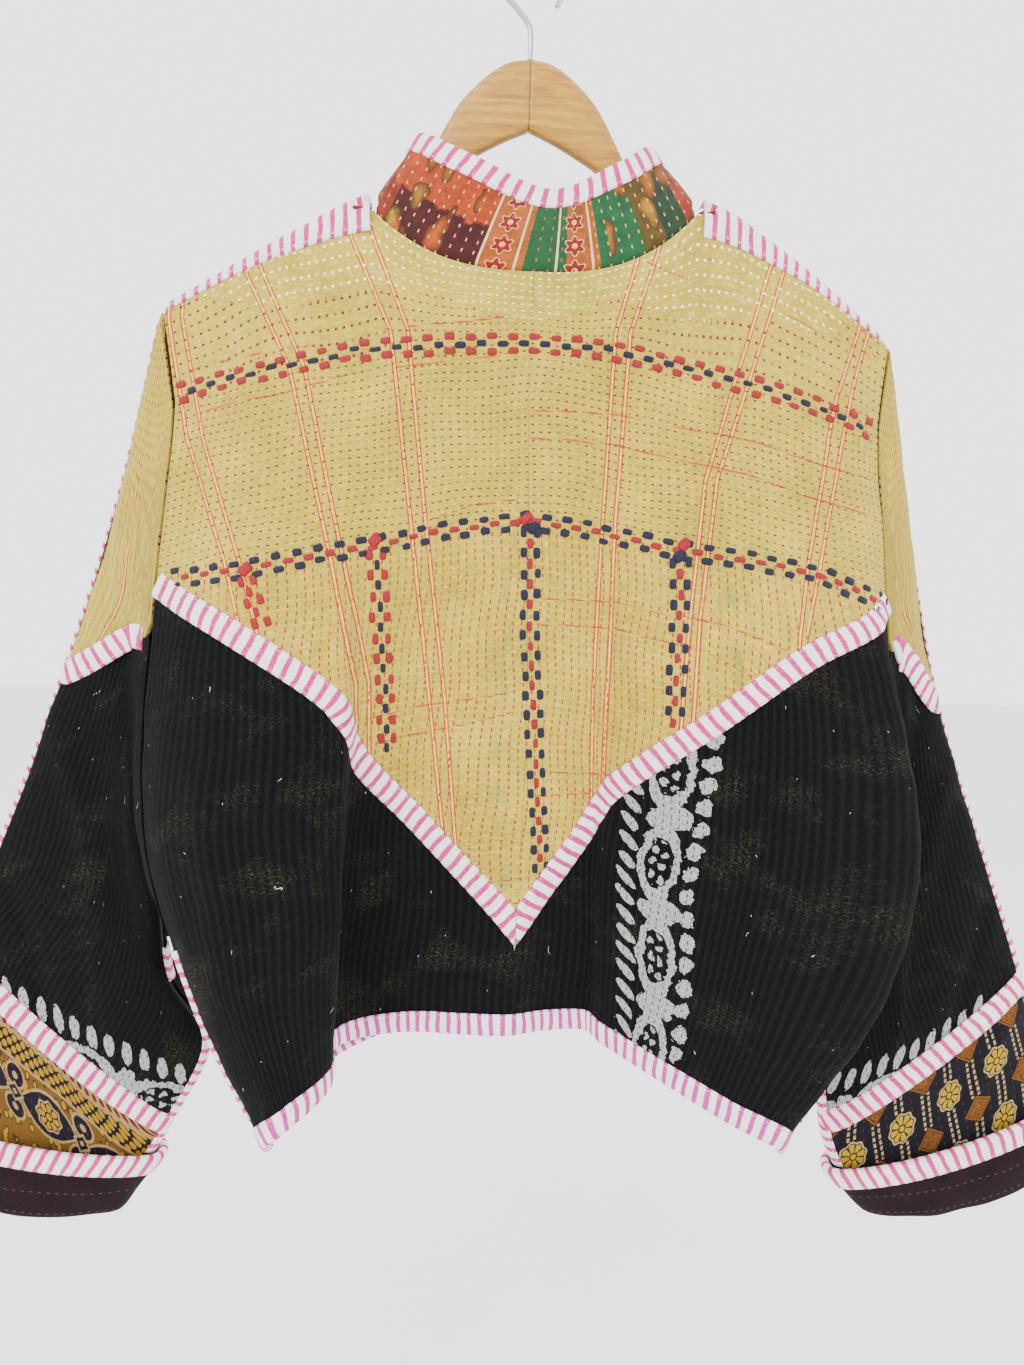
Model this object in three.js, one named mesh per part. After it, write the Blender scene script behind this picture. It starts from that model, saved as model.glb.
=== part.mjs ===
// A quilted kantha jacket on a shaped wooden hanger, hanging with its back to the viewer.
// Millimetres, +Z up. -Y is the side that the jacket's back faces, +X is the wearer's right.
// The origin is the inside top of the wire hook, where a rod or wall hook carries the hanger.
import * as THREE from "three";

// ---- Driving dimensions ----
const GAP = 0.3; // between pieces that meet at a seam
const CLEAR = 0.6; // under a tape, whose facets run otherwise than the cloth's
const WALL = 2.6; // several layers of old cotton, quilted together
const RIPPLE = 0.7; // how far a quilted ridge stands out
const TAPE = 1.1; // folded binding tape, one side
const TAPE_WIDTH = 15;
const WOOD_TOP = -62; // the hanger's top below the hook's inside
const SHOULDER_RADIUS = 8; // of the cloth where it bends over the hanger's arm
const NECK = { left: -92, right: 104, middle: 4, drop: -130, forward: -33 };
const ARMHOLE_END = 0.75; // how far down the side the armhole reaches
const CHEST_LINE = 0.1; // where the shoulder's own shape has run out

// How far the cloth's level rows lie below the hanger's top, at the middle, and how much further
// they fall towards the sides.
const LEVELS = [
  { name: "chest line", down: 0.1, middle: -168, fall: 42 },
  { name: "blade line", down: 0.32, middle: -275, fall: 45 },
  { name: "seam level", down: 0.614, middle: -420, fall: 50 },
  { name: "waist", down: 0.818, middle: -520, fall: 52 },
  { name: "hem", down: 1, middle: -609, fall: 58 },
];

// The fold lines of the back, one row for each: how far across the cloth it lies, and its places
// from the top edge through the five levels.
const BACK_FOLDS = [
  { name: "left side", across: -1, x: [-218, -211, -221, -227, -197, -148], y: [0, -12, -20, -30, -45, -57] },
  { name: "left round", across: -0.88, x: [-191, -184, -196, -209, -184, -147], y: [0, -20, -30, -50, -61, -68] },
  { name: "left crest", across: -0.74, x: [-160, -155, -163, -168, -156, -136], y: [0, -24, -36, -62, -69, -71] },
  { name: "left lip", across: -0.53, x: [-114, -110, -113, -109, -109, -113], y: [0, -26, -32, -46, -50, -46] },
  { name: "left tuck", across: -0.41, x: [-89, -84, -88, -101, -111, -114], y: [0, -27, -25, -22, -13, -6] },
  { name: "left hollow", across: -0.23, x: [-48, -46, -48, -60, -68, -72], y: [0, -28, -19, -8, -3, 0] },
  { name: "middle", across: 0, x: [4, 3, 4, 4, 0, -4], y: [0, -30, -22, -14, -14, -18] },
  { name: "right hollow", across: 0.12, x: [31, 30, 32, 34, 30, 28], y: [0, -30, -20, -10, -6, -4] },
  { name: "right tuck", across: 0.22, x: [54, 52, 54, 57, 57, 56], y: [0, -29, -19, -6, 0, 4] },
  { name: "right lip", across: 0.29, x: [69, 67, 70, 69, 66, 66], y: [0, -28, -23, -17, -13, -10] },
  { name: "right rise", across: 0.5, x: [117, 113, 119, 119, 112, 98], y: [0, -26, -32, -42, -42, -34] },
  { name: "right crest", across: 0.75, x: [173, 169, 178, 187, 171, 141], y: [0, -24, -36, -60, -65, -59] },
  { name: "right round", across: 0.9, x: [207, 203, 219, 251, 232, 169], y: [0, -20, -30, -52, -62, -66] },
  { name: "right side", across: 1, x: [229, 224, 234, 241, 228, 175], y: [0, -12, -20, -33, -46, -59] },
];

// The same for each front: reach is a share of the side seam's distance from the middle, and y
// runs through the five levels.
const FRONT_FOLDS = [
  { name: "front edge", across: 0.03, reach: 0.05, y: [20, 28, 34, 38, 38] },
  { name: "inner", across: 0.25, reach: 0.28, y: [20, 26, 32, 36, 36] },
  { name: "breast", across: 0.5, reach: 0.56, y: [20, 26, 31, 32, 30] },
  { name: "outer", across: 0.72, reach: 0.82, y: [18, 23, 24, 20, 14] },
  { name: "round", across: 0.88, reach: 0.965, y: [14, 18, 8, -12, -22] },
];
// How far the front's side lies behind the back's: the armhole, then the side seam.
const ARMHOLE_OPEN = {
  down: [0, 0.1, 0.32, 0.614, 0.7, 0.74, 0.753, 0.8, 1],
  y: [2, 22, 34, 28, 19, 10, 3, 0.5, 0],
};

// The shoulder ridge: height of the cloth's top over the hanger's arm.
const RIDGE = { x: [-218, -141, -92, 104, 164, 229], z: [-153, -107, -84, -78, -109, -158] };
// How far round the ridge the shoulder seam lies: on the back at the neck, on top at the tip.
const SEAM_TURN = {
  x: [-218, -160, -100, -80, 92, 112, 178, 229],
  turn: [1.9, 1.7, 0.25, 0, 0, 0.25, 1.7, 1.9],
};

// Sleeves, a row for each section from the armhole to the fold of the turned-up cuff: the
// overarm edge, the underarm edge, and how far the flattened tube swells each way.
const SLEEVES = {
  left: [
    { along: 0.2, over: [-247, 4, -262], under: [-227, -5, -526], swell: 15, sag: 0 },
    { along: 0.4, over: [-286, 6, -378], under: [-225, 7, -584], swell: 16, sag: 0 },
    { along: 0.6, over: [-331, 8, -492], under: [-202, 10, -630], swell: 16, sag: 0 },
    { along: 0.8, over: [-366, 8, -556], under: [-228, 10, -687], swell: 14, sag: 3 },
    { along: 0.9, over: [-389, 9, -672], under: [-238, 10, -704], swell: 13, sag: 5 },
    { along: 1, over: [-397, 10, -722], under: [-264, 10, -744], swell: 12, sag: 8 },
  ],
  right: [
    { along: 0.2, over: [250, 4, -262], under: [250, 1, -518], swell: 20, sag: 0 },
    { along: 0.4, over: [282, 6, -386], under: [250, 9, -580], swell: 18, sag: 0 },
    { along: 0.6, over: [328, 8, -502], under: [228, 11, -642], swell: 16, sag: 0 },
    { along: 0.8, over: [358, 8, -578], under: [228, 10, -684], swell: 14, sag: 3 },
    { along: 0.9, over: [387, 9, -664], under: [239, 10, -716], swell: 13, sag: 5 },
    { along: 1, over: [394, 10, -714], under: [264, 10, -748], swell: 12, sag: 10 },
  ],
};
// Seam one: its place at the overarm, the share of the armhole where it ends, how it curves.
const SEAM_ONE = { along: 0.4, meets: 0.5, power: 0.6 };
const SEAM_TWO = 0.8;
const TUBE_END = 0.94; // inside the turned-up cuff
// The cuff from the tube's end round its fold to its free edge, with how far it stands out.
const CUFF_FOLD = [
  { way: 0, along: 0.945, out: 0 },
  { way: 0.2, along: 0.975, out: 0.2 },
  { way: 0.38, along: 0.996, out: 0.8 },
  { way: 0.5, along: 1.004, out: 3.4 },
  { way: 0.62, along: 0.996, out: 6 },
  { way: 0.8, along: 0.955, out: 7.2 },
  { way: 1, along: 0.905, out: 8.5 },
];
const CUFF_BINDING = 13;

// The seam between yoke and lower panel: a V whose two arms are slightly hollow, from the tip out.
const VEE = {
  tip: 0.02,
  left: {
    across: [0, 0.12, 0.25, 0.43, 0.55, 0.76, 1],
    down: [0.853, 0.775, 0.692, 0.588, 0.505, 0.405, 0.318],
  },
  right: {
    across: [0, 0.1, 0.2, 0.27, 0.48, 0.73, 1],
    down: [0.853, 0.775, 0.693, 0.643, 0.54, 0.42, 0.318],
  },
};

// The hanger's arms, a row for each section: top is measured from the hanger's top, and from
// 90 mm out, where the cloth rests on the arm, from the cloth's ridge.
const ARM = [
  { reach: 0, top: 0, height: 41, depth: 13, bend: -3 },
  { reach: 14, top: -3, height: 44, depth: 13, bend: -3 },
  { reach: 28, top: -12, height: 42, depth: 12.5, bend: -2 },
  { reach: 42, top: -26, height: 36, depth: 12, bend: -1 },
  { reach: 54, top: -46, height: 28, depth: 10.5, bend: -0.5 },
  { reach: 70, top: -74, height: 24, depth: 10, bend: -0.5 },
  { reach: 92, top: -11, height: 23, depth: 11, bend: 0 },
  { reach: 115, top: -5, height: 23, depth: 10.5, bend: 0 },
  { reach: 150, top: -4, height: 22, depth: 10, bend: 0 },
  { reach: 190, top: -4, height: 20, depth: 9.5, bend: 0 },
  { reach: 213, top: -4.5, height: 14, depth: 8, bend: 0 },
];
const HOOK = {
  wire: 3.4,
  inside: 18,
  y: -3,
  stem: [{ x: 0, z: -62.3 }, { x: 0, z: -50 }, { x: -1.5, z: -42 }, { x: -9, z: -33 }],
};

const COLOURS = {
  olive: 0xb5ac72, black: 0x24262b, print: 0xa9511f, collar: 0x6a5a34, pink: 0xf0d9e6,
  maroon: 0x3a1626, brocade: 0x8a7340, wood: 0xc98f3f, steel: 0x9aa3ab,
};

// ---- Curves from tables ----
function smooth(knots, values, at) {
  const last = knots.length - 1;
  let i = 0;
  while (i < last - 1 && at > knots[i + 1]) i++;
  const slope = (k) => {
    const a = Math.max(k - 1, 0);
    const b = Math.min(k + 1, last);
    return (values[b] - values[a]) / (knots[b] - knots[a]);
  };
  const width = knots[i + 1] - knots[i];
  const t = (at - knots[i]) / width;
  const rise = 3 * t * t - 2 * t * t * t;
  return (
    values[i] * (1 - rise) +
    values[i + 1] * rise +
    width * (slope(i) * (t - 2 * t * t + t * t * t) + slope(i + 1) * (t * t * t - t * t))
  );
}

function straight(knots, values, at) {
  let i = 0;
  while (i < knots.length - 2 && at > knots[i + 1]) i++;
  const t = (at - knots[i]) / (knots[i + 1] - knots[i]);
  return values[i] + (values[i + 1] - values[i]) * t;
}

const mix = (a, b, t) => a + (b - a) * t;
const column = (rows, name) => rows.map((row) => row[name]);
const clamp01 = (t) => Math.min(Math.max(t, 0), 1);
const ease = (t) => clamp01(t) ** 2 * (3 - 2 * clamp01(t));

// ---- The body's cloth ----
const DOWN = column(LEVELS, "down");
const DOWN_WITH_TOP = [0, ...DOWN];

function levelHeight(across, down) {
  const middle = straight(DOWN, column(LEVELS, "middle"), down);
  const fall = straight(DOWN, column(LEVELS, "fall"), down);
  return WOOD_TOP + middle - fall * Math.abs(across) ** 1.5;
}

const ridgeHeight = (x) => WOOD_TOP + smooth(RIDGE.x, RIDGE.z, x);

// The neckline's back half: how far x lies from the neck's middle, 0 to 1 at the neck point.
function neckShare(x) {
  const half = x < NECK.middle ? NECK.middle - NECK.left : NECK.right - NECK.middle;
  return Math.abs(x - NECK.middle) / half;
}

function neckBack(x) {
  const share = Math.min(neckShare(x), 1);
  const point = ridgeHeight(x < NECK.middle ? NECK.left : NECK.right) - SHOULDER_RADIUS;
  return {
    y: mix(NECK.forward, -SHOULDER_RADIUS, share ** 2.2),
    z: mix(WOOD_TOP + NECK.drop, point, share ** 2.6),
  };
}

function neckFront(x) {
  const share = Math.min(neckShare(x), 1);
  const point = ridgeHeight(x < NECK.middle ? NECK.left : NECK.right) - SHOULDER_RADIUS;
  return { y: mix(24, SHOULDER_RADIUS, share ** 2), z: mix(point - 62, point, share ** 1.6) };
}

// From the top edge to the chest line: round the shoulder's ridge first, then straight down.
function shoulderPart(x, turn, sign, neck, chest, down) {
  const onShoulder = neckShare(x) >= 1;
  const top = onShoulder
    ? { y: -sign * SHOULDER_RADIUS, z: ridgeHeight(x) - SHOULDER_RADIUS }
    : neck;
  const arc = turn * SHOULDER_RADIUS;
  const drop = top.z - chest.z;
  const way = (down / CHEST_LINE) * (arc + drop);
  if (way < arc) {
    const angle = (arc - way) / SHOULDER_RADIUS;
    return new THREE.Vector3(
      x,
      top.y + sign * SHOULDER_RADIUS * (1 - Math.cos(angle)),
      top.z + SHOULDER_RADIUS * Math.sin(angle),
    );
  }
  const t = (way - arc) / drop;
  return new THREE.Vector3(mix(x, chest.x, t), mix(top.y, chest.y, t), mix(top.z, chest.z, t));
}

const BACK_ACROSS = column(BACK_FOLDS, "across");

function backTable(across, down) {
  const x = BACK_FOLDS.map((fold) => smooth(DOWN_WITH_TOP, fold.x, down));
  const y = BACK_FOLDS.map((fold) => smooth(DOWN, fold.y.slice(1), Math.max(down, CHEST_LINE)));
  return new THREE.Vector3(
    smooth(BACK_ACROSS, x, across),
    smooth(BACK_ACROSS, y, across),
    levelHeight(across, down),
  );
}

function back(across, down) {
  if (down >= CHEST_LINE) return backTable(across, down);
  const x = smooth(BACK_ACROSS, BACK_FOLDS.map((fold) => fold.x[0]), across);
  const turn = neckShare(x) >= 1 ? smooth(SEAM_TURN.x, SEAM_TURN.turn, x) : 0;
  return shoulderPart(x, Math.max(turn, 0), 1, neckBack(x), backTable(across, CHEST_LINE), down);
}

function frontTable(across, down) {
  const side = backTable(Math.sign(across), down);
  side.y += smooth(ARMHOLE_OPEN.down, ARMHOLE_OPEN.y, down);
  const knots = [...column(FRONT_FOLDS, "across"), 1];
  const x = [...FRONT_FOLDS.map((fold) => fold.reach * side.x), side.x];
  const y = [...FRONT_FOLDS.map((fold) => smooth(DOWN, fold.y, down)), side.y];
  return new THREE.Vector3(
    smooth(knots, x, Math.abs(across)),
    smooth(knots, y, Math.abs(across)),
    levelHeight(across, down),
  );
}

function front(across, down) {
  if (down >= CHEST_LINE) return frontTable(across, down);
  const x = smooth(BACK_ACROSS, BACK_FOLDS.map((fold) => fold.x[0]), across);
  const onShoulder = ease((neckShare(x) - 1) / 0.06);
  const turn = (Math.PI - Math.max(smooth(SEAM_TURN.x, SEAM_TURN.turn, x), 0)) * onShoulder;
  return shoulderPart(x, turn, -1, neckFront(x), frontTable(across, CHEST_LINE), down);
}

// ---- Sleeves: turn runs round the flattened tube, 0 at the overarm, pi at the underarm ----
const ARMHOLE_GAP = 1.6;
const armholeShare = (turn) => (1 - Math.cos(turn)) / 2;
const bulge = (turn) => Math.sign(Math.sin(turn)) * Math.abs(Math.sin(turn)) ** 0.65;

function armholeEdge(side, turn) {
  const sign = side === "left" ? -1 : 1;
  const down = armholeShare(turn) * ARMHOLE_END;
  const edge = turn <= Math.PI ? back(sign, down) : front(sign, down);
  edge.x += sign * ARMHOLE_GAP;
  return edge;
}

function sleeve(side, along, turn) {
  const rows = SLEEVES[side];
  const over = armholeEdge(side, 0);
  const under = armholeEdge(side, Math.PI);
  const knots = [0, ...column(rows, "along")];
  const at = (name, first, axis) =>
    smooth(knots, [first, ...rows.map((row) => row[name][axis] + (axis === 2 ? WOOD_TOP : 0))], along);
  const share = armholeShare(turn);
  const swell = smooth(knots, [6, ...column(rows, "swell")], along);
  const sag = smooth(knots, [0, ...column(rows, "sag")], along);
  const point = new THREE.Vector3(
    mix(at("over", over.x, 0), at("under", under.x, 0), share),
    mix(at("over", over.y, 1), at("under", under.y, 1), share) - swell * bulge(turn),
    mix(at("over", over.z, 2), at("under", under.z, 2), share) - sag * Math.sin(turn) ** 2,
  );
  // Near the armhole the tube turns into the body's edge.
  const fade = 1 - ease(along / 0.32);
  if (fade > 0) {
    const edge = armholeEdge(side, turn);
    const plain = new THREE.Vector3(
      mix(over.x, under.x, share),
      mix(over.y, under.y, share) - 6 * bulge(turn),
      mix(over.z, under.z, share),
    );
    point.addScaledVector(edge.sub(plain), fade);
  }
  return point;
}

// ---- Building walls ----
// The unit normal of surface(u, v); flip is 1 or -1 and turns it out of the garment.
function normalOf(surface, u, v, flip) {
  const step = 1e-3;
  const du = surface(u + step, v).sub(surface(u - step, v));
  const dv = surface(u, v + step).sub(surface(u, v - step));
  return du.cross(dv).normalize().multiplyScalar(flip);
}

// A closed body from an outer and an inner sheet of points, outer[row][column].
function wallGeometry(outer, inner, loopRows = false, loopColumns = false) {
  const rows = outer.length;
  const columns = outer[0].length;
  const points = [...outer.flat(), ...inner.flat()];
  const index = [];
  const out = (i, j) => (i % rows) * columns + (j % columns);
  const inn = (i, j) => rows * columns + out(i, j);
  const quad = (a, b, c, d) => {
    const short = points[a].distanceToSquared(points[c]) <= points[b].distanceToSquared(points[d]);
    if (short) index.push(a, b, c, a, c, d);
    else index.push(a, b, d, b, c, d);
  };
  const rowSteps = loopRows ? rows : rows - 1;
  const columnSteps = loopColumns ? columns : columns - 1;
  const last = columns - 1;
  for (let i = 0; i < rowSteps; i++) {
    for (let j = 0; j < columnSteps; j++) {
      quad(out(i, j), out(i + 1, j), out(i + 1, j + 1), out(i, j + 1));
      quad(inn(i, j), inn(i, j + 1), inn(i + 1, j + 1), inn(i + 1, j));
    }
    if (!loopColumns) {
      quad(out(i, 0), inn(i, 0), inn(i + 1, 0), out(i + 1, 0));
      quad(out(i, last), out(i + 1, last), inn(i + 1, last), inn(i, last));
    }
  }
  if (!loopRows) {
    for (let j = 0; j < columnSteps; j++) {
      quad(out(0, j), out(0, j + 1), inn(0, j + 1), inn(0, j));
      quad(out(rows - 1, j), inn(rows - 1, j), inn(rows - 1, j + 1), out(rows - 1, j + 1));
    }
  }
  return closedGeometry(points, index);
}

// Turns the faces out, whichever way the sheets ran.
function closedGeometry(points, index) {
  let volume = 0;
  for (let k = 0; k < index.length; k += 3) {
    const [a, b, c] = [points[index[k]], points[index[k + 1]], points[index[k + 2]]];
    volume += a.dot(new THREE.Vector3().crossVectors(b, c));
  }
  if (volume < 0) index.reverse();
  const geometry = new THREE.BufferGeometry().setFromPoints(points);
  geometry.setIndex(index);
  geometry.computeVertexNormals();
  return geometry;
}

const jacket = new THREE.Group();

function addMesh(name, geometry, colour, roughness = 0.9, metalness = 0) {
  const material = new THREE.MeshStandardMaterial({ color: colour, roughness, metalness });
  const mesh = new THREE.Mesh(geometry, material);
  mesh.name = name;
  jacket.add(mesh);
}

const steps = (from, to, count) =>
  Array.from({ length: count + 1 }, (_, i) => mix(from, to, i / count));

// A cloth panel on surface(u, v): places[row][column] are its (u, v), and ripple(row, column) is 1
// on a quilted ridge. The outline stays plain, so that bindings fit over it. The middle points and
// normals come back, because the bindings are made from them.
function addPanel(name, surface, places, flip, colour, ripple = () => 0) {
  const lastRow = places.length - 1;
  const lastColumn = places[0].length - 1;
  const points = places.map((row) => row.map(([u, v]) => surface(u, v)));
  const normals = places.map((row) => row.map(([u, v]) => normalOf(surface, u, v, flip)));
  const sheet = (height) =>
    points.map((row, i) =>
      row.map((point, j) => point.clone().addScaledVector(normals[i][j], height(i, j))));
  const outer = sheet((i, j) => {
    const inside = i > 0 && j > 0 && i < lastRow && j < lastColumn;
    return WALL / 2 + (inside ? RIPPLE * ripple(i, j) : 0);
  });
  addMesh(name, wallGeometry(outer, sheet(() => -WALL / 2)), colour);
  return { points, normals };
}

// A place on a panel's face, as a function of the height over its middle: `way` mm from point
// (i, j) towards point (i2, j2).
function onPanel({ points, normals }, [i, j], [i2, j2], way = 0) {
  const share = way / points[i][j].distanceTo(points[i2][j2]);
  return (height) => {
    const from = points[i][j].clone().addScaledVector(normals[i][j], height);
    const to = points[i2][j2].clone().addScaledVector(normals[i2][j2], height);
    return from.lerp(to, share);
  };
}

// The middle of a seam between two places.
const between = (one, other, rise = 0) => (height) => one(height + rise).lerp(other(height + rise), 0.5);

// Tape lying on the cloth over a seam: each row has places across the tape.
function addSeamTape(name, rows, clear = CLEAR) {
  const low = WALL / 2 + clear;
  const lift = (height) => rows.map((row) => row.map((place) => place(height)));
  addMesh(name, wallGeometry(lift(low + TAPE), lift(low)), COLOURS.pink);
}

// Tape folded round an edge: each sample has the edge's point, the cloth's normal there and the
// direction that points away from the cloth.
function addEdgeTape(name, samples, width, loop = false, clear = CLEAR) {
  const inside = WALL / 2 + clear;
  const outside = inside + TAPE;
  const sweep = (profile) =>
    samples.map(({ point, normal, away }) =>
      profile.map(([n, d]) => point.clone().addScaledVector(normal, n).addScaledVector(away, d)));
  const outer = sweep([
    [outside, -width],
    [outside * 0.75, GAP + TAPE],
    [-outside * 0.75, GAP + TAPE],
    [-outside, -width],
  ]);
  const inner = sweep([
    [inside, -width],
    [inside, GAP],
    [-inside, GAP],
    [-inside, -width],
  ]);
  addMesh(name, wallGeometry(outer, inner, loop), COLOURS.pink);
}

// A sample for addEdgeTape at a panel's point, whose neighbour inside the cloth is (i2, j2).
function edgeSample({ points, normals }, [i, j], [i2, j2]) {
  const point = points[i][j];
  const away = point.clone().sub(points[i2][j2]).normalize();
  const normal = normals[i][j].clone();
  normal.addScaledVector(away, -normal.dot(away)).normalize();
  return { point, normal, away };
}

// ---- Back: two yoke halves and the lower panel ----
const SEAM_HALF = 0.0012; // half a seam's gap, as a share of the back's half width
const SIDE = 1 - 2 * SEAM_HALF;
const SIGNS = { left: -1, right: 1 };
const YOKE_LOW = 0.832;
const YOKE_TOP_ROWS = [0.0012, 0.008, 0.0155]; // round the shoulder's ridge
const QUILT_ROWS = 35; // a level row for each ridge and each hollow of the quilting
const YOKE_COLUMNS = 10;
const LOWER_ROWS = 6;
const TAPE_REACH = 11; // from the slanting seam along the cloth's grain, for a tape 15 mm wide

function veeDown(across) {
  const sign = across < VEE.tip ? -1 : 1;
  const arm = sign < 0 ? VEE.left : VEE.right;
  return smooth(arm.across, arm.down, Math.abs((across - VEE.tip) / (sign - VEE.tip)));
}

// Where the yoke's outer edge lies on a level row: the side, or else the V-shaped seam.
function yokeEdge(sign, down) {
  if (down <= veeDown(sign)) return sign * SIDE;
  let inside = VEE.tip;
  let outside = sign;
  for (let i = 0; i < 40; i++) {
    const half = (inside + outside) / 2;
    if (veeDown(half) > down) inside = half;
    else outside = half;
  }
  return inside - sign * SEAM_HALF;
}

const yokeRows = [...YOKE_TOP_ROWS, ...steps(0.0235, YOKE_LOW, QUILT_ROWS)];
const YOKE_LAST = yokeRows.length - 1;
const yoke = {};
for (const [side, sign] of Object.entries(SIGNS)) {
  const places = yokeRows.map((down) => {
    const inner = VEE.tip * ease(down / YOKE_LOW) + sign * SEAM_HALF;
    return steps(inner, yokeEdge(sign, down), YOKE_COLUMNS).map((across) => [across, down]);
  });
  const ridge = (i, j) => (i % 2 && i > 3 && i < YOKE_LAST - 3 && j < YOKE_COLUMNS - 1 ? 1 : 0);
  yoke[side] = addPanel(`back_yoke_${side}`, back, places, -1, COLOURS.olive, ridge);
}

// The lower panel's columns start at the yoke's rows along the seam, so that both share its line.
const seamRows = yokeRows.map((down, row) => ({ down, row })).filter(({ down }) => down > veeDown(1) + 0.01);
const armColumns = (side) =>
  seamRows.map(({ down, row }) => ({ side, row, across: yokeEdge(SIGNS[side], down) }));
const lowerColumns = [
  { across: -SIDE },
  ...armColumns("left"),
  { across: VEE.tip },
  ...armColumns("right").reverse(),
  { across: SIDE },
];
const SEAM_DOWN = 0.0035;
const lower = addPanel("back_lower", back,
  lowerColumns.map(({ across }) =>
    steps(veeDown(across) + SEAM_DOWN, 1, LOWER_ROWS).map((down) => [across, down])),
  -1, COLOURS.black, (i) => i % 2);

function yokeOuter(side, row, way) {
  let column = YOKE_COLUMNS;
  let rest = way;
  const { points } = yoke[side];
  const stepAt = () => points[row][column].distanceTo(points[row][column - 1]);
  while (column > 1 && rest > stepAt()) {
    rest -= stepAt();
    column--;
  }
  return onPanel(yoke[side], [row, column], [row, column - 1], rest);
}
const lowerTop = (column, way) => onPanel(lower, [column, 0], [column, 1], way);
const MITRE_ROWS = 2; // rows near the tip whose yoke is narrower than the tape
for (const side of ["left", "right"]) {
  const rows = lowerColumns
    .map(({ row, side: arm }, column) => ({ row, arm, column }))
    .filter(({ row, arm }) => arm === side && row <= YOKE_LAST - MITRE_ROWS)
    .map(({ row, column }) => {
      const seam = between(yokeOuter(side, row, 0), lowerTop(column, 0), 0.2);
      return [yokeOuter(side, row, TAPE_REACH), yokeOuter(side, row, TAPE_REACH / 2), seam,
        lowerTop(column, TAPE_REACH)];
    });
  if (side === "right") rows.reverse();
  // The arms meet in a mitre on the middle line.
  const sign = SIGNS[side];
  const mitre = (down) => {
    const across = VEE.tip + sign * SEAM_HALF * 1.5;
    return (height) => back(across, down).addScaledVector(normalOf(back, across, down, -1), height + 0.5);
  };
  rows.push([mitre(0.817), mitre(0.835), mitre(0.853), mitre(0.888)]);
  addSeamTape(`binding_vee_${side}`, rows, 1.5);
}

// ---- Fronts, open, each to its own edge ----
const FRONT_EDGE = 0.04;
const FRONT_TOP_ROWS = [0.003, 0.0125, 0.022, 0.032, 0.05, 0.075];
const fronts = {};
for (const [side, sign] of Object.entries(SIGNS)) {
  const shoulder = steps(SEAM_HALF, SIDE, YOKE_COLUMNS).slice(3);
  const columns = [FRONT_EDGE, 0.17, ...shoulder.slice(0, 2), 0.455, ...shoulder.slice(2, -1), 1 - 0.012];
  const rows = [...FRONT_TOP_ROWS, ...steps(CHEST_LINE, 0.318 + SEAM_DOWN, 2).slice(0, -1),
    ...steps(0.318 + SEAM_DOWN, 1, LOWER_ROWS)];
  const places = columns.map((across) => rows.map((down) => [sign * across, down]));
  fronts[side] = addPanel(`front_${side}`, front, places, 1, COLOURS.print);
}

// ---- Bindings of the body ----
for (const side of ["left", "right"]) {
  const sign = SIGNS[side];
  const cloth = fronts[side];
  const columns = cloth.points.length - 1;
  const rows = cloth.points[0].length - 1;
  const shoulderTape = [];
  for (let column = 5; column <= YOKE_COLUMNS; column++) {
    shoulderTape.push([
      onPanel(yoke[side], [2, column], [3, column]),
      onPanel(yoke[side], [1, column], [2, column]),
      onPanel(yoke[side], [0, column], [1, column]),
      onPanel(cloth, [column, 0], [column, 1]),
      onPanel(cloth, [column, 1], [column, 2]),
    ]);
  }
  addSeamTape(`binding_shoulder_${side}`, shoulderTape, 0.9);

  const hem = cloth.points.map((_, column) => edgeSample(cloth, [column, rows], [column, rows - 1]));
  addEdgeTape(`binding_hem_front_${side}`, hem, TAPE_WIDTH);

  const edge = cloth.points[0].slice(1, -1).map((_, k) => edgeSample(cloth, [0, k + 1], [1, k + 1]));
  const end = edgeSample(cloth, [0, rows], [1, rows]);
  const nearHem = edge[edge.length - 1];
  const stop = 1 - (TAPE_WIDTH + 3) / nearHem.point.distanceTo(end.point);
  edge.push({ ...nearHem, point: nearHem.point.clone().lerp(end.point, stop) });
  addEdgeTape(`binding_front_${side}`, edge, TAPE_WIDTH);

  // The side seam, from the armhole's end to just above the hem's binding.
  const column = side === "left" ? 0 : lowerColumns.length - 1;
  const inward = side === "left" ? 1 : -1;
  const firstRow = LOWER_ROWS - 2;
  const sideTape = [];
  const sidePlace = (row, raised = 0) => {
    const at = (panel, from, to, way) => {
      const here = onPanel(panel, from, to, way);
      if (!raised) return here;
      const shift = (pair) => [pair[0], pair[1] - 1];
      const above = onPanel(panel, shift(from), shift(to), way);
      return (height) => here(height).lerp(above(height), raised);
    };
    const frontRow = rows - LOWER_ROWS + row;
    const onBack = (way) => at(lower, [column, row], [column + inward, row], way);
    const onFront = (way) => at(cloth, [columns, frontRow], [columns - 1, frontRow], way);
    return [onBack(7), onBack(0), onFront(0), onFront(6)];
  };
  for (let row = firstRow; row < LOWER_ROWS; row++) sideTape.push(sidePlace(row));
  sideTape.push(sidePlace(LOWER_ROWS, 0.36));
  addSeamTape(`binding_side_${side}`, sideTape, 0.9);
}
addEdgeTape("binding_hem_back",
  lowerColumns.map((_, column) => edgeSample(lower, [column, LOWER_ROWS], [column, LOWER_ROWS - 1])),
  TAPE_WIDTH, false, 1.5);

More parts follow.
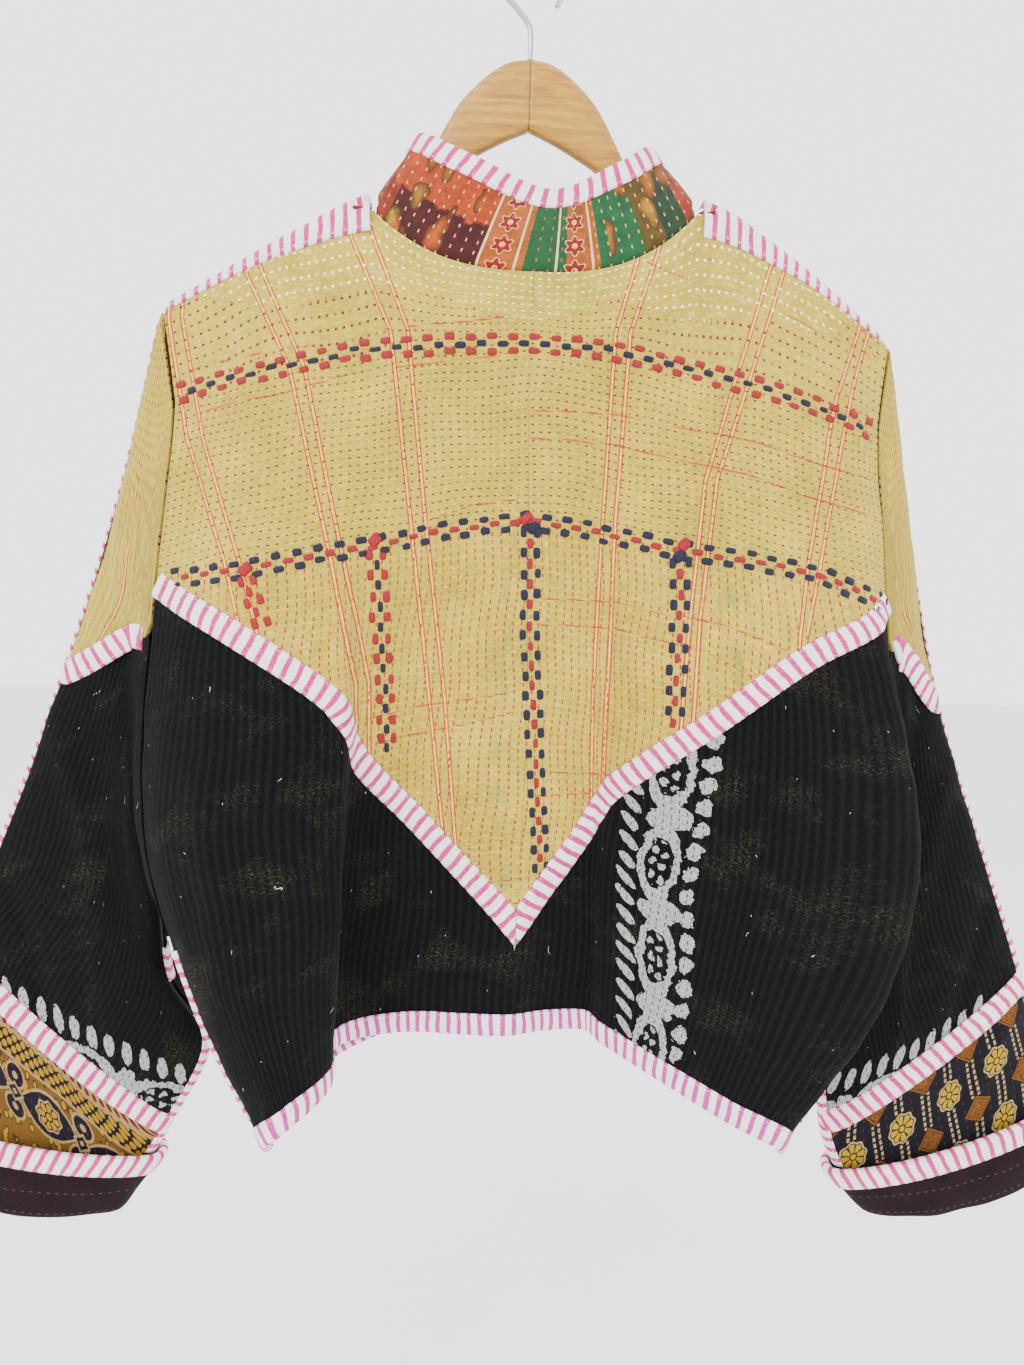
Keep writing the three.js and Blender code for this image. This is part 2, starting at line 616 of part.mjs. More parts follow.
// ---- Collar: a stand on the neckline that leans in over the hanger ----
const COLLAR_TOP = [
  { name: "left end", round: 0, place: [-8, 34, -112] },
  { name: "left front", round: 0.15, place: [-46, 21, -77] },
  { name: "left corner", round: 0.27, place: [-66, -2, -48] },
  { name: "left back", round: 0.37, place: [-38, -18, -62] },
  { name: "middle", round: 0.5, place: [13, -21, -82] },
  { name: "right back", round: 0.63, place: [54, -17, -64] },
  { name: "right corner", round: 0.73, place: [75, -1, -49] },
  { name: "right front", round: 0.85, place: [60, 20, -78] },
  { name: "right end", round: 1, place: [24, 34, -112] },
];
const NECK_TURN = 0.05; // share of the way in which the neckline passes over the shoulder

function neckline(round) {
  const way = 2 * round - 1;
  const half = way < 0 ? NECK.middle - NECK.left : NECK.right - NECK.middle;
  const x = NECK.middle + half * Math.sin(way * Math.PI) * 0.985;
  const over = clamp01((Math.abs(way) - 0.5 + NECK_TURN) / (2 * NECK_TURN));
  const behind = neckBack(x);
  const ahead = neckFront(x);
  return new THREE.Vector3(
    x,
    mix(behind.y, ahead.y, ease(over)),
    mix(behind.z, ahead.z, ease(over)) + (SHOULDER_RADIUS + 2) * Math.sin(Math.PI * over),
  );
}

function collar(round, up) {
  const top = new THREE.Vector3(...[0, 1, 2].map((axis) =>
    smooth(column(COLLAR_TOP, "round"), COLLAR_TOP.map((row) => row.place[axis]), round)));
  top.z += WOOD_TOP;
  const point = neckline(round).lerp(top, up);
  point.y -= 2 * Math.sin(Math.PI * up);
  return point;
}

const COLLAR_END = 0.025;
const COLLAR_ROWS = 4;
const collarPanel = addPanel("collar", collar,
  steps(COLLAR_END, 1 - COLLAR_END, 28).map((round) =>
    steps(0.035, 1, COLLAR_ROWS).map((up) => [round, up])),
  1, COLOURS.collar);
addEdgeTape("binding_collar",
  collarPanel.points.map((_, i) => edgeSample(collarPanel, [i, COLLAR_ROWS], [i, COLLAR_ROWS - 1])),
  TAPE_WIDTH * 0.85, false, 1.2);

// ---- Sleeves ----
const SEAM_ALONG = 0.0025; // half a seam's gap along the sleeve
const OVER_TURN = 0.04; // keeps the two halves apart at the overarm seam
const UNDER_TURN = Math.PI - 0.21; // and at the underarm seam
const MEET_TURN = Math.acos(1 - 2 * SEAM_ONE.meets * 0.97);
const UPPER = { columns: 5, rows: 6 };
const MIDDLE_ROWS = 7;
const BAND_ROWS = 3;
const seamOne = (turn) =>
  SEAM_ONE.along * Math.max(1 - armholeShare(turn) / SEAM_ONE.meets, 0) ** SEAM_ONE.power;

for (const [side, sign] of Object.entries(SIGNS)) {
  const tube = (along, turn) => sleeve(side, along, turn);
  const flip = -sign;
  const panels = {};
  for (const half of ["back", "front"]) {
    const turnOf = (turn) => (half === "back" ? turn : 2 * Math.PI - turn);
    const below = 4;
    const upperTurns = steps(OVER_TURN, MEET_TURN, UPPER.columns);
    const turns = [...upperTurns, ...steps(MEET_TURN, UNDER_TURN, below).slice(1)];
    const strip = (columns, from, to, rows) =>
      columns.map((turn) => steps(from(turn), to(turn), rows).map((along) => [along, turnOf(turn)]));
    const name = (part) => `sleeve_${side}_${part}_${half}`;
    const upper = addPanel(name("upper"), tube,
      strip(upperTurns, () => 0.004, (turn) => seamOne(turn) - SEAM_ALONG, UPPER.rows), flip, COLOURS.olive);
    const middle = addPanel(name("middle"), tube,
      strip(turns, (turn) => Math.max(seamOne(turn), 0.004) + SEAM_ALONG, () => SEAM_TWO - SEAM_ALONG,
        MIDDLE_ROWS), flip, COLOURS.black);
    const band = addPanel(name("band"), tube,
      strip(turns, () => SEAM_TWO + SEAM_ALONG, () => TUBE_END, BAND_ROWS), flip, COLOURS.brocade);
    panels[half] = { upper, middle, band };

    const across = (above, rowAbove, next, column, reach) => {
      const one = (way) => onPanel(above, [column, rowAbove], [column, rowAbove - 1], way);
      const other = (way) => onPanel(next, [column, 0], [column, 1], way);
      return [one(reach), between(one(0), other(0), 0.2), other(reach)];
    };
    const inner = turns.slice(1, -1).map((_, k) => k + 1);
    addSeamTape(`binding_${side}_one_${half}`,
      inner.filter((column) => column < UPPER.columns + (half === "back" ? 1 : 0))
        .map((column) => across(upper, UPPER.rows, middle, column, 7.5)), 0.8);
    addSeamTape(`binding_${side}_two_${half}`,
      inner.map((column) => across(middle, MIDDLE_ROWS, band, column, 7.5)));
  }

  // Overarm and underarm seams: tape over both halves' edges, from their own points.
  const edgeRows = (part, overarm, reach) => {
    const { back: one, front: other } = { back: panels.back[part], front: panels.front[part] };
    const at = (panel, row) => {
      const edge = overarm ? 0 : panel.points.length - 1;
      const inside = overarm ? 1 : edge - 1;
      const whole = panel.points[edge][row].distanceTo(panel.points[inside][row]);
      return (share) => onPanel(panel, [edge, row], [inside, row], share * whole);
    };
    return one.points[0].map((_, row) => {
      const onBack = at(one, row);
      const onFront = at(other, row);
      return [onBack(reach), onBack(0), onFront(0), onFront(reach)];
    });
  };
  addSeamTape(`binding_${side}_overarm`,
    [...edgeRows("upper", true, 0.85).slice(0, -1), ...edgeRows("middle", true, 0.85).slice(0, -1),
      ...edgeRows("band", true, 0.85)]);
  addSeamTape(`binding_${side}_underarm`,
    [...edgeRows("middle", false, 0.5).slice(3, -1), ...edgeRows("band", false, 0.5).slice(0, -1)],
    1.3);

  // The cuff goes on from the tube's end, folds over and stands out round it up to its free edge.
  const cuff = (way, turn) => {
    const along = smooth(column(CUFF_FOLD, "way"), column(CUFF_FOLD, "along"), way);
    const out = smooth(column(CUFF_FOLD, "way"), column(CUFF_FOLD, "out"), way);
    return sleeve(side, along, turn).addScaledVector(normalOf(tube, along, turn, flip), out);
  };
  const turns = Array.from({ length: 22 }, (_, k) => (k / 22) * 2 * Math.PI);
  const points = turns.map((turn) => column(CUFF_FOLD, "way").map((way) => cuff(way, turn)));
  const normals = turns.map((turn) =>
    column(CUFF_FOLD, "way").map((way) => normalOf(cuff, way, turn, flip)));
  const sheet = (height) =>
    points.map((row, i) => row.map((point, j) => point.clone().addScaledVector(normals[i][j], height)));
  addMesh(`cuff_${side}`, wallGeometry(sheet(WALL / 2), sheet(-WALL / 2), true), COLOURS.maroon);
  const edge = CUFF_FOLD.length - 1;
  addEdgeTape(`binding_${side}_cuff`,
    points.map((_, i) => edgeSample({ points, normals }, [i, edge], [i, edge - 1])), CUFF_BINDING, true);
}

// ---- Hanger: two arms mitred in the middle, and a wire hook ----
const ARM_SIDES = 10;
for (const [side, sign] of Object.entries(SIGNS)) {
  const rings = ARM.map(({ reach, top, height, depth, bend }) => {
    const x = sign * Math.max(reach, GAP / 2);
    const upper = reach < 90 ? WOOD_TOP + top : ridgeHeight(x) + top;
    return Array.from({ length: ARM_SIDES }, (_, k) => {
      const angle = (k / ARM_SIDES) * 2 * Math.PI;
      const round = (value) => Math.sign(value) * Math.abs(value) ** 0.6;
      return new THREE.Vector3(
        x,
        bend + (depth / 2) * round(Math.cos(angle)),
        upper + (height / 2) * (round(Math.sin(angle)) - 1),
      );
    });
  });
  const half = ARM_SIDES / 2;
  addMesh(`hanger_arm_${side}`,
    wallGeometry(rings.map((ring) => ring.slice(0, half)), rings.map((ring) => ring.slice(half).reverse())),
    COLOURS.wood, 0.45);
}

{
  // The stem leans to the left and goes into the round of the hook, whose inside top is z = 0.
  const radius = HOOK.inside + HOOK.wire / 2;
  const round = steps(Math.PI * 1.08, -Math.PI * 0.22, 12).map((angle) =>
    new THREE.Vector3(radius * Math.cos(angle), HOOK.y, radius * Math.sin(angle) - HOOK.inside));
  const stem = HOOK.stem.map(({ x, z }) => new THREE.Vector3(x, HOOK.y, z));
  const path = new THREE.CatmullRomCurve3([...stem, ...round]);
  const wire = new THREE.Shape().absarc(0, 0, HOOK.wire / 2, 0, 2 * Math.PI);
  const geometry = new THREE.ExtrudeGeometry(wire, {
    steps: 44, curveSegments: 4, extrudePath: path, bevelEnabled: false });
  addMesh("hanger_hook", geometry, COLOURS.steel, 0.3, 0.9);
}

export default jacket;
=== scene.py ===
import math
import bpy
import numpy as np
from mathutils import Matrix, Vector


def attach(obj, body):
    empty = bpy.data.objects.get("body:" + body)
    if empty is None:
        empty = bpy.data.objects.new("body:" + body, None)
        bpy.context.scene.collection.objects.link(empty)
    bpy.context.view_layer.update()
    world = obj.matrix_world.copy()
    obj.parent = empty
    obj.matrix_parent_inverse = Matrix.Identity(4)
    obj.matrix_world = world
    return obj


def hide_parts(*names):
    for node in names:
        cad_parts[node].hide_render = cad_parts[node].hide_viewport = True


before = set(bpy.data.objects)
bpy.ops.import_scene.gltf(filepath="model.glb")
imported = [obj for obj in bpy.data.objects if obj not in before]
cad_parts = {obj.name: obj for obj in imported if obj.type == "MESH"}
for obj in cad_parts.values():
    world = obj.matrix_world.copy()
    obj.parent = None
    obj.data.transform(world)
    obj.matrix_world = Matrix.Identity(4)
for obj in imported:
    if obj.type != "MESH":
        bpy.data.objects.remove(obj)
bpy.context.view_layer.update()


# ---- Studio ----
# A pale floor far under the hanging jacket, a pale surround, and large soft lamps in front of it.
# The camera stands close to the jacket's back, a little above its middle, and looks slightly down.
def add_lamp(name, place, aim, size, watts):
    data = bpy.data.lights.new(name, "AREA")
    data.shape, data.size, data.energy = "DISK", size, watts
    lamp = bpy.data.objects.new(name, data)
    lamp.location = place
    lamp.rotation_euler = (Vector(aim) - Vector(place)).to_track_quat("-Z", "Y").to_euler()
    bpy.context.scene.collection.objects.link(lamp)


add_lamp("key_softbox", (-1.3, -1.6, 0.75), (0, 0, -0.4), 0.9, 38)
add_lamp("fill_softbox", (1.7, -1.5, 0.1), (0, 0, -0.4), 1.3, 16)
add_lamp("front_softbox", (0.6, 1.9, 0.5), (0, 0, -0.4), 1.4, 22)

world = bpy.data.worlds.new("pale_surround")
world.use_nodes = True
world.node_tree.nodes["Background"].inputs["Color"].default_value = (0.93, 0.935, 0.945, 1)
world.node_tree.nodes["Background"].inputs["Strength"].default_value = 3.0
bpy.context.scene.world = world

yaw, pitch, roll = math.radians(2.9), math.radians(-6.9), math.radians(1.55)
ahead = Vector((math.sin(yaw) * math.cos(pitch), math.cos(yaw) * math.cos(pitch), math.sin(pitch)))
level = Vector((math.cos(yaw), -math.sin(yaw), 0))
upright = level.cross(ahead)
right = math.cos(roll) * level + math.sin(roll) * upright
above = math.cos(roll) * upright - math.sin(roll) * level
camera = bpy.data.objects.new("camera", bpy.data.cameras.new("camera"))
camera.matrix_world = Matrix((
    (right.x, above.x, -ahead.x, -0.0343), (right.y, above.y, -ahead.y, -0.6627),
    (right.z, above.z, -ahead.z, -0.3604), (0, 0, 0, 1)))
camera.data.lens = 1027 * 36 / 1365
camera.data.clip_start = 0.05
bpy.context.scene.collection.objects.link(camera)
bpy.context.scene.camera = camera


def colour(text):
    """An sRGB hex colour as the linear colour that the shader takes."""
    parts = [int(text[k:k + 2], 16) / 255 for k in (0, 2, 4)]
    return (*[c / 12.92 if c <= 0.04045 else ((c + 0.055) / 1.055) ** 2.4 for c in parts], 1)


def node(kind, *inputs, out=0, **settings):
    """Adds a node to the material in hand. Inputs are values or links in the sockets' order;
    a setting that starts with a capital is a socket by its name."""
    made = tree.nodes.new("ShaderNode" + kind)
    fed = []
    for name, value in settings.items():
        if name[0].isupper():
            fed.append((name.replace("_", " "), value))
        else:
            setattr(made, name, value)
    fed = [*zip(made.inputs, inputs), *((made.inputs[name], value) for name, value in fed)]
    for socket, value in fed:
        if isinstance(value, bpy.types.NodeSocket):
            tree.links.new(value, socket)
        elif value is not None:
            socket.default_value = value
    return made.outputs[out]


def start_material(name):
    global tree
    material = bpy.data.materials.new(name)
    material.use_nodes = True
    tree = material.node_tree
    tree.nodes.clear()
    return material


def end_material(base, height=None, depth=0.0003, **sockets):
    """Closes the material in hand with its shader; height is in shares of depth, in metres."""
    shader = node("BsdfPrincipled", Base_Color=base, **sockets)
    if height is not None:
        bump = node("Bump", Strength=1.0, Distance=depth, Height=height)
        tree.links.new(bump, shader.node.inputs["Normal"])
    tree.links.new(shader, tree.nodes.new("ShaderNodeOutputMaterial").inputs[0])


def maths(operation):
    return lambda *values: node("Math", *values, operation=operation)


plus, minus, times, times_plus = map(maths, ("ADD", "SUBTRACT", "MULTIPLY", "MULTIPLY_ADD"))
below, beyond, close_to, either = map(maths, ("LESS_THAN", "GREATER_THAN", "COMPARE", "MAXIMUM"))
bounce, remainder, size_of = map(maths, ("PINGPONG", "MODULO", "ABSOLUTE"))
cosine, arctan2 = map(maths, ("COSINE", "ARCTAN2"))


def stretch(vector, by):
    return node("VectorMath", vector, by, operation="MULTIPLY")


def shift(vector, by):
    return node("VectorMath", vector, by, operation="ADD")


def split(vector):
    """The three coordinates of a vector."""
    return node("SeparateXYZ", vector).node.outputs


def distance(x, y):
    return node("VectorMath", node("CombineXYZ", x, y), operation="LENGTH", out=1)


def kept(name):
    """A field that add_piece kept on the points."""
    return node("Attribute", attribute_name=name, out=1)


def noise(place, *sizes, out=0):
    return node("TexNoise", place, None, *sizes, out=out)


def cells_of(place, scale, **settings):
    """Distance to the nearest of some scattered points."""
    return node("TexVoronoi", place, None, scale, **settings)


def bands(place, way, *sizes):
    return node("TexWave", place, *sizes, wave_type="BANDS", bands_direction=way, out=1)


def span(value, *limits):
    """The value's share of the way from one limit to the next, from 0 to 1 or between two more."""
    return node("MapRange", value, *limits)


def blend(share, first, second):
    return node("MixRGB", share, colour(first), colour(second))


def paint(base, mask, text):
    return node("MixRGB", mask, base, colour(text))


def dashes(x, y, half_x, wide, half_y, long):
    """Running stitches: half the distance between them, and half their size, each way."""
    return times(below(bounce(x, half_x), wide), below(bounce(y, half_y), long))


# Painted concrete, rolled matt: even and pale, with a barely visible mottle.
floor_paint = start_material("matt floor paint")
mottle = noise(node("TexCoord", out=3), 3.0, 4.0)
end_material(blend(mottle, "e6e6e4", "ededeb"), Roughness=0.85)
floor_mesh = bpy.data.meshes.new("floor")
floor_mesh.from_pydata([(-6, -6, 0), (6, -6, 0), (6, 6, 0), (-6, 6, 0)], [], [(0, 1, 2, 3)])
floor_mesh.materials.append(floor_paint)
floor = bpy.data.objects.new("floor", floor_mesh)
floor.location.z = -1.25
bpy.context.scene.collection.objects.link(floor)


# ---- Back yoke ----
# Two halves of old hand-woven olive cotton, several layers quilted together by rows of running
# stitch, joined by a plain seam down the middle. They hang over the hanger's arms and fall into
# the jacket's folds. Millimetres from here on.
WOOD_TOP = -62
WALL = 2.6
INNER_STEP = 4  # A cloth's hidden inside has every fourth point of its outside.
HALF_WIDE, LONG = 232, 520  # What across and down are multiplied by for rough millimetres.
SHOULDER_RADIUS = 8
CHEST_LINE = 0.1
NECK_LEFT, NECK_RIGHT, NECK_MIDDLE = -92, 104, 4
DOWN = [0.1, 0.32, 0.614, 0.818, 1]
LEVEL_MIDDLE = [-168, -275, -420, -520, -609]
LEVEL_FALL = [42, 45, 50, 52, 58]
ACROSS = [-1, -0.88, -0.74, -0.53, -0.41, -0.23, 0, 0.12, 0.22, 0.29, 0.5, 0.75, 0.9, 1]
FOLDS_X = [
    [-218, -211, -221, -227, -197, -148], [-191, -184, -196, -209, -184, -147],
    [-160, -155, -163, -168, -156, -136], [-114, -110, -113, -109, -109, -113],
    [-89, -84, -88, -101, -111, -114], [-48, -46, -48, -60, -68, -72], [4, 3, 4, 4, 0, -4],
    [31, 30, 32, 34, 30, 28], [54, 52, 54, 57, 57, 56], [69, 67, 70, 69, 66, 66],
    [117, 113, 119, 119, 112, 98], [173, 169, 178, 187, 171, 141],
    [207, 203, 219, 251, 232, 169], [229, 224, 234, 241, 228, 175]]
FOLDS_Y = [
    [-12, -20, -30, -45, -57], [-20, -30, -50, -61, -68], [-24, -36, -62, -69, -71],
    [-26, -32, -46, -50, -46], [-27, -25, -22, -13, -6], [-28, -19, -8, -3, 0],
    [-30, -22, -14, -14, -18], [-30, -20, -10, -6, -4], [-29, -19, -6, 0, 4],
    [-28, -23, -17, -13, -10], [-26, -32, -42, -42, -34], [-24, -36, -60, -65, -59],
    [-20, -30, -52, -62, -66], [-12, -20, -33, -46, -59]]
RIDGE = ([-218, -141, -92, 104, 164, 229], [-153, -107, -84, -78, -109, -158])
SEAM_TURN = ([-218, -160, -100, -80, 92, 112, 178, 229], [1.9, 1.7, 0.25, 0, 0, 0.25, 1.7, 1.9])


def curve(knots, values, at):
    """A smooth curve through the values at the knots. Values may have a row for each knot."""
    knots, values = np.asarray(knots, float), np.asarray(values, float)
    at = np.asarray(at, float)
    if values.ndim > 1:
        pick = lambda table, k: np.take_along_axis(table, k[None], 0)[0]
        gaps = (knots[2:] - knots[:-2]).reshape(-1, *[1] * (values.ndim - 1))
    else:
        pick = lambda table, k: table[k]
        gaps = knots[2:] - knots[:-2]
    slope = np.concatenate([
        (values[1:2] - values[:1]) / (knots[1] - knots[0]), (values[2:] - values[:-2]) / gaps,
        (values[-1:] - values[-2:-1]) / (knots[-1] - knots[-2])])
    i = np.searchsorted(knots[1:-1], at)
    width = knots[i + 1] - knots[i]
    t = (at - knots[i]) / width
    rise = 3 * t * t - 2 * t ** 3
    return (pick(values, i) * (1 - rise) + pick(values, i + 1) * rise
            + width * (pick(slope, i) * (t - 2 * t * t + t ** 3) + pick(slope, i + 1) * (t ** 3 - t * t)))


def mix(a, b, t):
    return a + (b - a) * t


def ease(t):
    t = np.clip(t, 0, 1)
    return t * t * (3 - 2 * t)


def unit(vectors):
    return vectors / np.linalg.norm(vectors, axis=-1, keepdims=True)


def run_of(line):
    """The length along a line of points, at each of them."""
    return np.r_[0, np.cumsum(np.linalg.norm(np.diff(line, axis=0), axis=-1))]


def humps(s, pitch):
    """The swell between rows of stitches that lie a pitch apart."""
    return np.abs(np.sin(np.pi * s / pitch))


def quads_of(ids):
    return np.stack([ids[:-1, :-1], ids[1:, :-1], ids[1:, 1:], ids[:-1, 1:]], -1).reshape(-1, 4)


def level_height(across, down):
    middle, fall = np.interp(down, DOWN, LEVEL_MIDDLE), np.interp(down, DOWN, LEVEL_FALL)
    return WOOD_TOP + middle - fall * np.abs(across) ** 1.5


def ridge_height(x):
    return WOOD_TOP + curve(*RIDGE, x)


def neck_share(x):
    half = np.where(x < NECK_MIDDLE, NECK_MIDDLE - NECK_LEFT, NECK_RIGHT - NECK_MIDDLE)
    return np.abs(x - NECK_MIDDLE) / half


def neck_point(x):
    return np.where(x < NECK_MIDDLE, ridge_height(NECK_LEFT), ridge_height(NECK_RIGHT)) - SHOULDER_RADIUS


def neck_back(x):
    share = np.minimum(neck_share(x), 1)
    return mix(-33, -8, share ** 2.2), mix(WOOD_TOP - 130, neck_point(x), share ** 2.6)


def shoulder_part(x, turn, sign, neck, chest, down):
    """From the top edge to the chest line: round the shoulder's ridge first, then straight down."""
    on_shoulder = neck_share(x) >= 1
    top_y = np.where(on_shoulder, -sign * SHOULDER_RADIUS, neck[0])
    top_z = np.where(on_shoulder, ridge_height(x) - SHOULDER_RADIUS, neck[1])
    arc = turn * SHOULDER_RADIUS
    drop = top_z - chest[..., 2]
    way = down / CHEST_LINE * (arc + drop)
    angle = (arc - way) / SHOULDER_RADIUS
    t = (way - arc) / drop
    bent = way < arc
    return np.stack([
        np.where(bent, x, mix(x, chest[..., 0], t)),
        np.where(bent, top_y + sign * SHOULDER_RADIUS * (1 - np.cos(angle)), mix(top_y, chest[..., 1], t)),
        np.where(bent, top_z + SHOULDER_RADIUS * np.sin(angle), mix(top_z, chest[..., 2], t))], -1)


def back_table(across, down):
    across, down = np.broadcast_arrays(np.asarray(across, float), np.asarray(down, float))
    x = [curve([0, *DOWN], row, down) for row in FOLDS_X]
    y = [curve(DOWN, row, np.maximum(down, CHEST_LINE)) for row in FOLDS_Y]
    return np.stack([curve(ACROSS, x, across), curve(ACROSS, y, across), level_height(across, down)], -1)


def back(across, down):
    across, down = np.broadcast_arrays(np.asarray(across, float), np.asarray(down, float))
    low = back_table(across, np.maximum(down, CHEST_LINE))
    x = curve(ACROSS, [row[0] for row in FOLDS_X], across)
    turn = np.where(neck_share(x) >= 1, np.maximum(curve(*SEAM_TURN, x), 0), 0)
    high = shoulder_part(x, turn, 1, neck_back(x), back_table(across, CHEST_LINE), down)
    return np.where((down >= CHEST_LINE)[..., None], low, high)


def normals_of(points, outward, loop=False):
    """The unit normals of a grid of points, on the side that outward points to."""
    if loop:
        along = np.roll(points, -1, 0) - np.roll(points, 1, 0)
    else:
        along = np.gradient(points, axis=0)
    normals = np.cross(along, np.gradient(points, axis=1))
    normals /= np.linalg.norm(normals, axis=-1, keepdims=True) + 1e-9
    return normals if (normals * outward).sum() > 0 else -normals


def add_piece(name, points, faces, material, fields=None, smooth=None):
    """An object from points in millimetres; fields are vectors kept on its points."""
    mesh = bpy.data.meshes.new(name)
    mesh.from_pydata((np.asarray(points) / 1000).tolist(), [], faces)
    for field, values in (fields or {}).items():
        mesh.attributes.new(field, "FLOAT_VECTOR", "POINT").data.foreach_set(
            "vector", np.asarray(values, np.float32).ravel())
    mesh.polygons.foreach_set("use_smooth", np.ones(len(faces), bool) if smooth is None else smooth)
    mesh.materials.append(material)
    mesh.update()
    made = bpy.data.objects.new(name, mesh)
    bpy.context.scene.collection.objects.link(made)
    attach(made, "root")
    return made


def add_wall(name, outer, inner, material, fields=None, loop=False):
    """A closed thin wall from a fine outer grid and an inner one with fewer points, joined at the
    rims. Faces turn out, whichever way the grids ran."""
    spare = (0 if loop else 1, 1)
    every = [(outer.shape[k] - spare[k]) // (inner.shape[k] - spare[k]) for k in (0, 1)]
    out_ids = np.arange(outer[..., 0].size).reshape(outer.shape[:2])
    in_ids = out_ids.size + np.arange(inner[..., 0].size).reshape(inner.shape[:2])
    if loop:
        out_ids, in_ids = np.vstack([out_ids, out_ids[:1]]), np.vstack([in_ids, in_ids[:1]])
    quads = np.vstack([quads_of(out_ids), quads_of(in_ids)[:, ::-1]]).tolist()
    rims = [(out_ids[:, 0], in_ids[:, 0], every[0], -1), (out_ids[:, -1], in_ids[:, -1], every[0], 1)]
    if not loop:
        rims += [(out_ids[0], in_ids[0], every[1], 1), (out_ids[-1], in_ids[-1], every[1], -1)]
    rim_faces = []
    for out_line, in_line, step, way in rims:
        for k in range(len(in_line) - 1):
            face = [*out_line[k * step:(k + 1) * step + 1].tolist(), int(in_line[k + 1]), int(in_line[k])]
            rim_faces.append(face[::way])
    faces = quads + rim_faces
    lift = outer[::every[0], ::every[1]][:inner.shape[0], :inner.shape[1]] - inner
    along, across = np.gradient(inner, axis=0), np.gradient(inner, axis=1)
    if (np.cross(along, across) * lift).sum() < 0:
        faces = [face[::-1] for face in faces]
    if fields:
        fields = {key: np.vstack([value.reshape(-1, 3), value[::every[0], ::every[1]]
                                  [:inner.shape[0], :inner.shape[1]].reshape(-1, 3)])
                  for key, value in fields.items()}
    smooth = np.r_[np.ones(len(quads), bool), np.zeros(len(rim_faces), bool)]
    points = np.vstack([outer.reshape(-1, 3), inner.reshape(-1, 3)])
    return add_piece(name, points, faces, material, fields, smooth)


def add_cloth(name, points, normals, material, fields, loop=False):
    """A quilted cloth on both sides of a grid of points."""
    inner = (points - normals * WALL / 2)[::INNER_STEP, ::INNER_STEP]
    return add_wall(name, points + normals * WALL / 2, inner, material, fields, loop)


def on_cloth(sx, sy, zone=0):
    """The field of places on a flat cloth, in millimetres, for its material."""
    return np.stack([sx, sy, zone + 0 * sx], -1)


def wander(a, b, seed, size):
    """A slow uneven drift over two coordinates, from -1 to 1, with waves about size long."""
    dice = np.random.default_rng(seed)
    total = 0
    for _ in range(5):
        angle, phase = dice.uniform(0, 2 * math.pi), dice.uniform(0, 2 * math.pi)
        pace = 2 * math.pi * dice.uniform(0.7, 1.6) / size
        total = total + np.sin((a * math.cos(angle) + b * math.sin(angle)) * pace + phase)
    return total / 3


def creases(points, table):
    """Soft creases: each from one place to another in x and z, half width, height."""
    rise = np.zeros(points.shape[:-1])
    for x0, z0, x1, z1, width, height in table:
        way = np.array([x1 - x0, z1 - z0])
        length = np.hypot(*way)
        way = way / length
        dx, dz = points[..., 0] - x0, points[..., 2] - z0
        t = (dx * way[0] + dz * way[1]) / length
        off = dx * -way[1] + dz * way[0] + 3 * np.sin(t * 5 + x0)
        rise += height * np.exp(-(off / width) ** 2) * np.exp(-((t - 0.5) / 0.42) ** 4)
    return rise


# Hand-woven cotton, dyed and often washed: matt, dull olive-yellow with paler threads, faint
# stains, thin orange and red lines woven in, and tiny stitches that show as rust or cream dashes.
olive = start_material("hand-woven olive cotton, quilted")
place = kept("stitch")
sx, sy, zone = split(place)
warp, weft, stain = split(kept("lines"))
fine = noise(stretch(place, (1, 0.3, 1)), 0.9, 3.0, 0.65)
slub = noise(stretch(place, (0.25, 1, 1)), 0.8, 2.0, 0.6)
patch = noise(place, 0.022, 4.0, 0.6)
base = blend(span(patch, 0.35, 0.68), "a08c0c", "c4aa2c")
base = paint(base, span(fine, 0.3, 0.7, 0.0, 0.5), "8e7410")
base = paint(base, span(slub, 0.5, 0.75, 0.0, 0.5), "dccb74")
# Washed-out green and teal marks.
mark = noise(stretch(place, (1, 0.35, 1)), 0.11, 3.0, 0.6)
base = paint(base, times(span(mark, 0.5, 0.66, 0.0, 0.5), stain), "5c7a3c")
# Double orange lines with a pale core run down the cloth; single red ones run across.
pair = bounce(warp, 25.0)
broken = span(noise(place, 0.35, 2.0), 0.3, 0.5, 0.35, 0.95)
core = below(pair, 0.7)
base = paint(base, times(core, 0.6), "e4c458")
side = close_to(pair, 1.1, 0.5)
base = paint(base, times(side, broken), "a42c00")
level_line = below(weft, 0.62)
base = paint(base, times(level_line, broken), "a81802")
# Running stitches on a grid of about 5 mm: level dots above, upright dashes in the V's point.
point = close_to(zone, 1.0, 0.5)
on_dash = dashes(sx, sy, 2.5, times_plus(point, -0.45, 0.9), 2.5, times_plus(point, 0.85, 0.48))
worn = span(noise(place, 0.12, 2.0), 0.35, 0.5, 0.35, 1.0)
stitch = times(on_dash, worn)
thread = blend(point, "651c04", "982410")
thread = paint(thread, beyond(zone, 1.5), "f4ecc8")
base = node("MixRGB", stitch, base, thread)
height = plus(fine, plus(slub, stitch))
end_material(base, height, 0.0004, Roughness=0.93, Sheen_Weight=0.12, Sheen_Roughness=0.6,
             Specular_IOR_Level=0.25)

VEE_TIP = 0.02
VEE = {
    -1: ([0, 0.12, 0.25, 0.43, 0.55, 0.76, 1], [0.853, 0.775, 0.692, 0.588, 0.505, 0.405, 0.318]),
    1: ([0, 0.1, 0.2, 0.27, 0.48, 0.73, 1], [0.853, 0.775, 0.693, 0.643, 0.54, 0.42, 0.318]),
}
SIDE = 0.9976
SIGNS = {"left": -1, "right": 1}


def vee_down(across, sign):
    return curve(*VEE[sign], (across - VEE_TIP) / (sign - VEE_TIP))


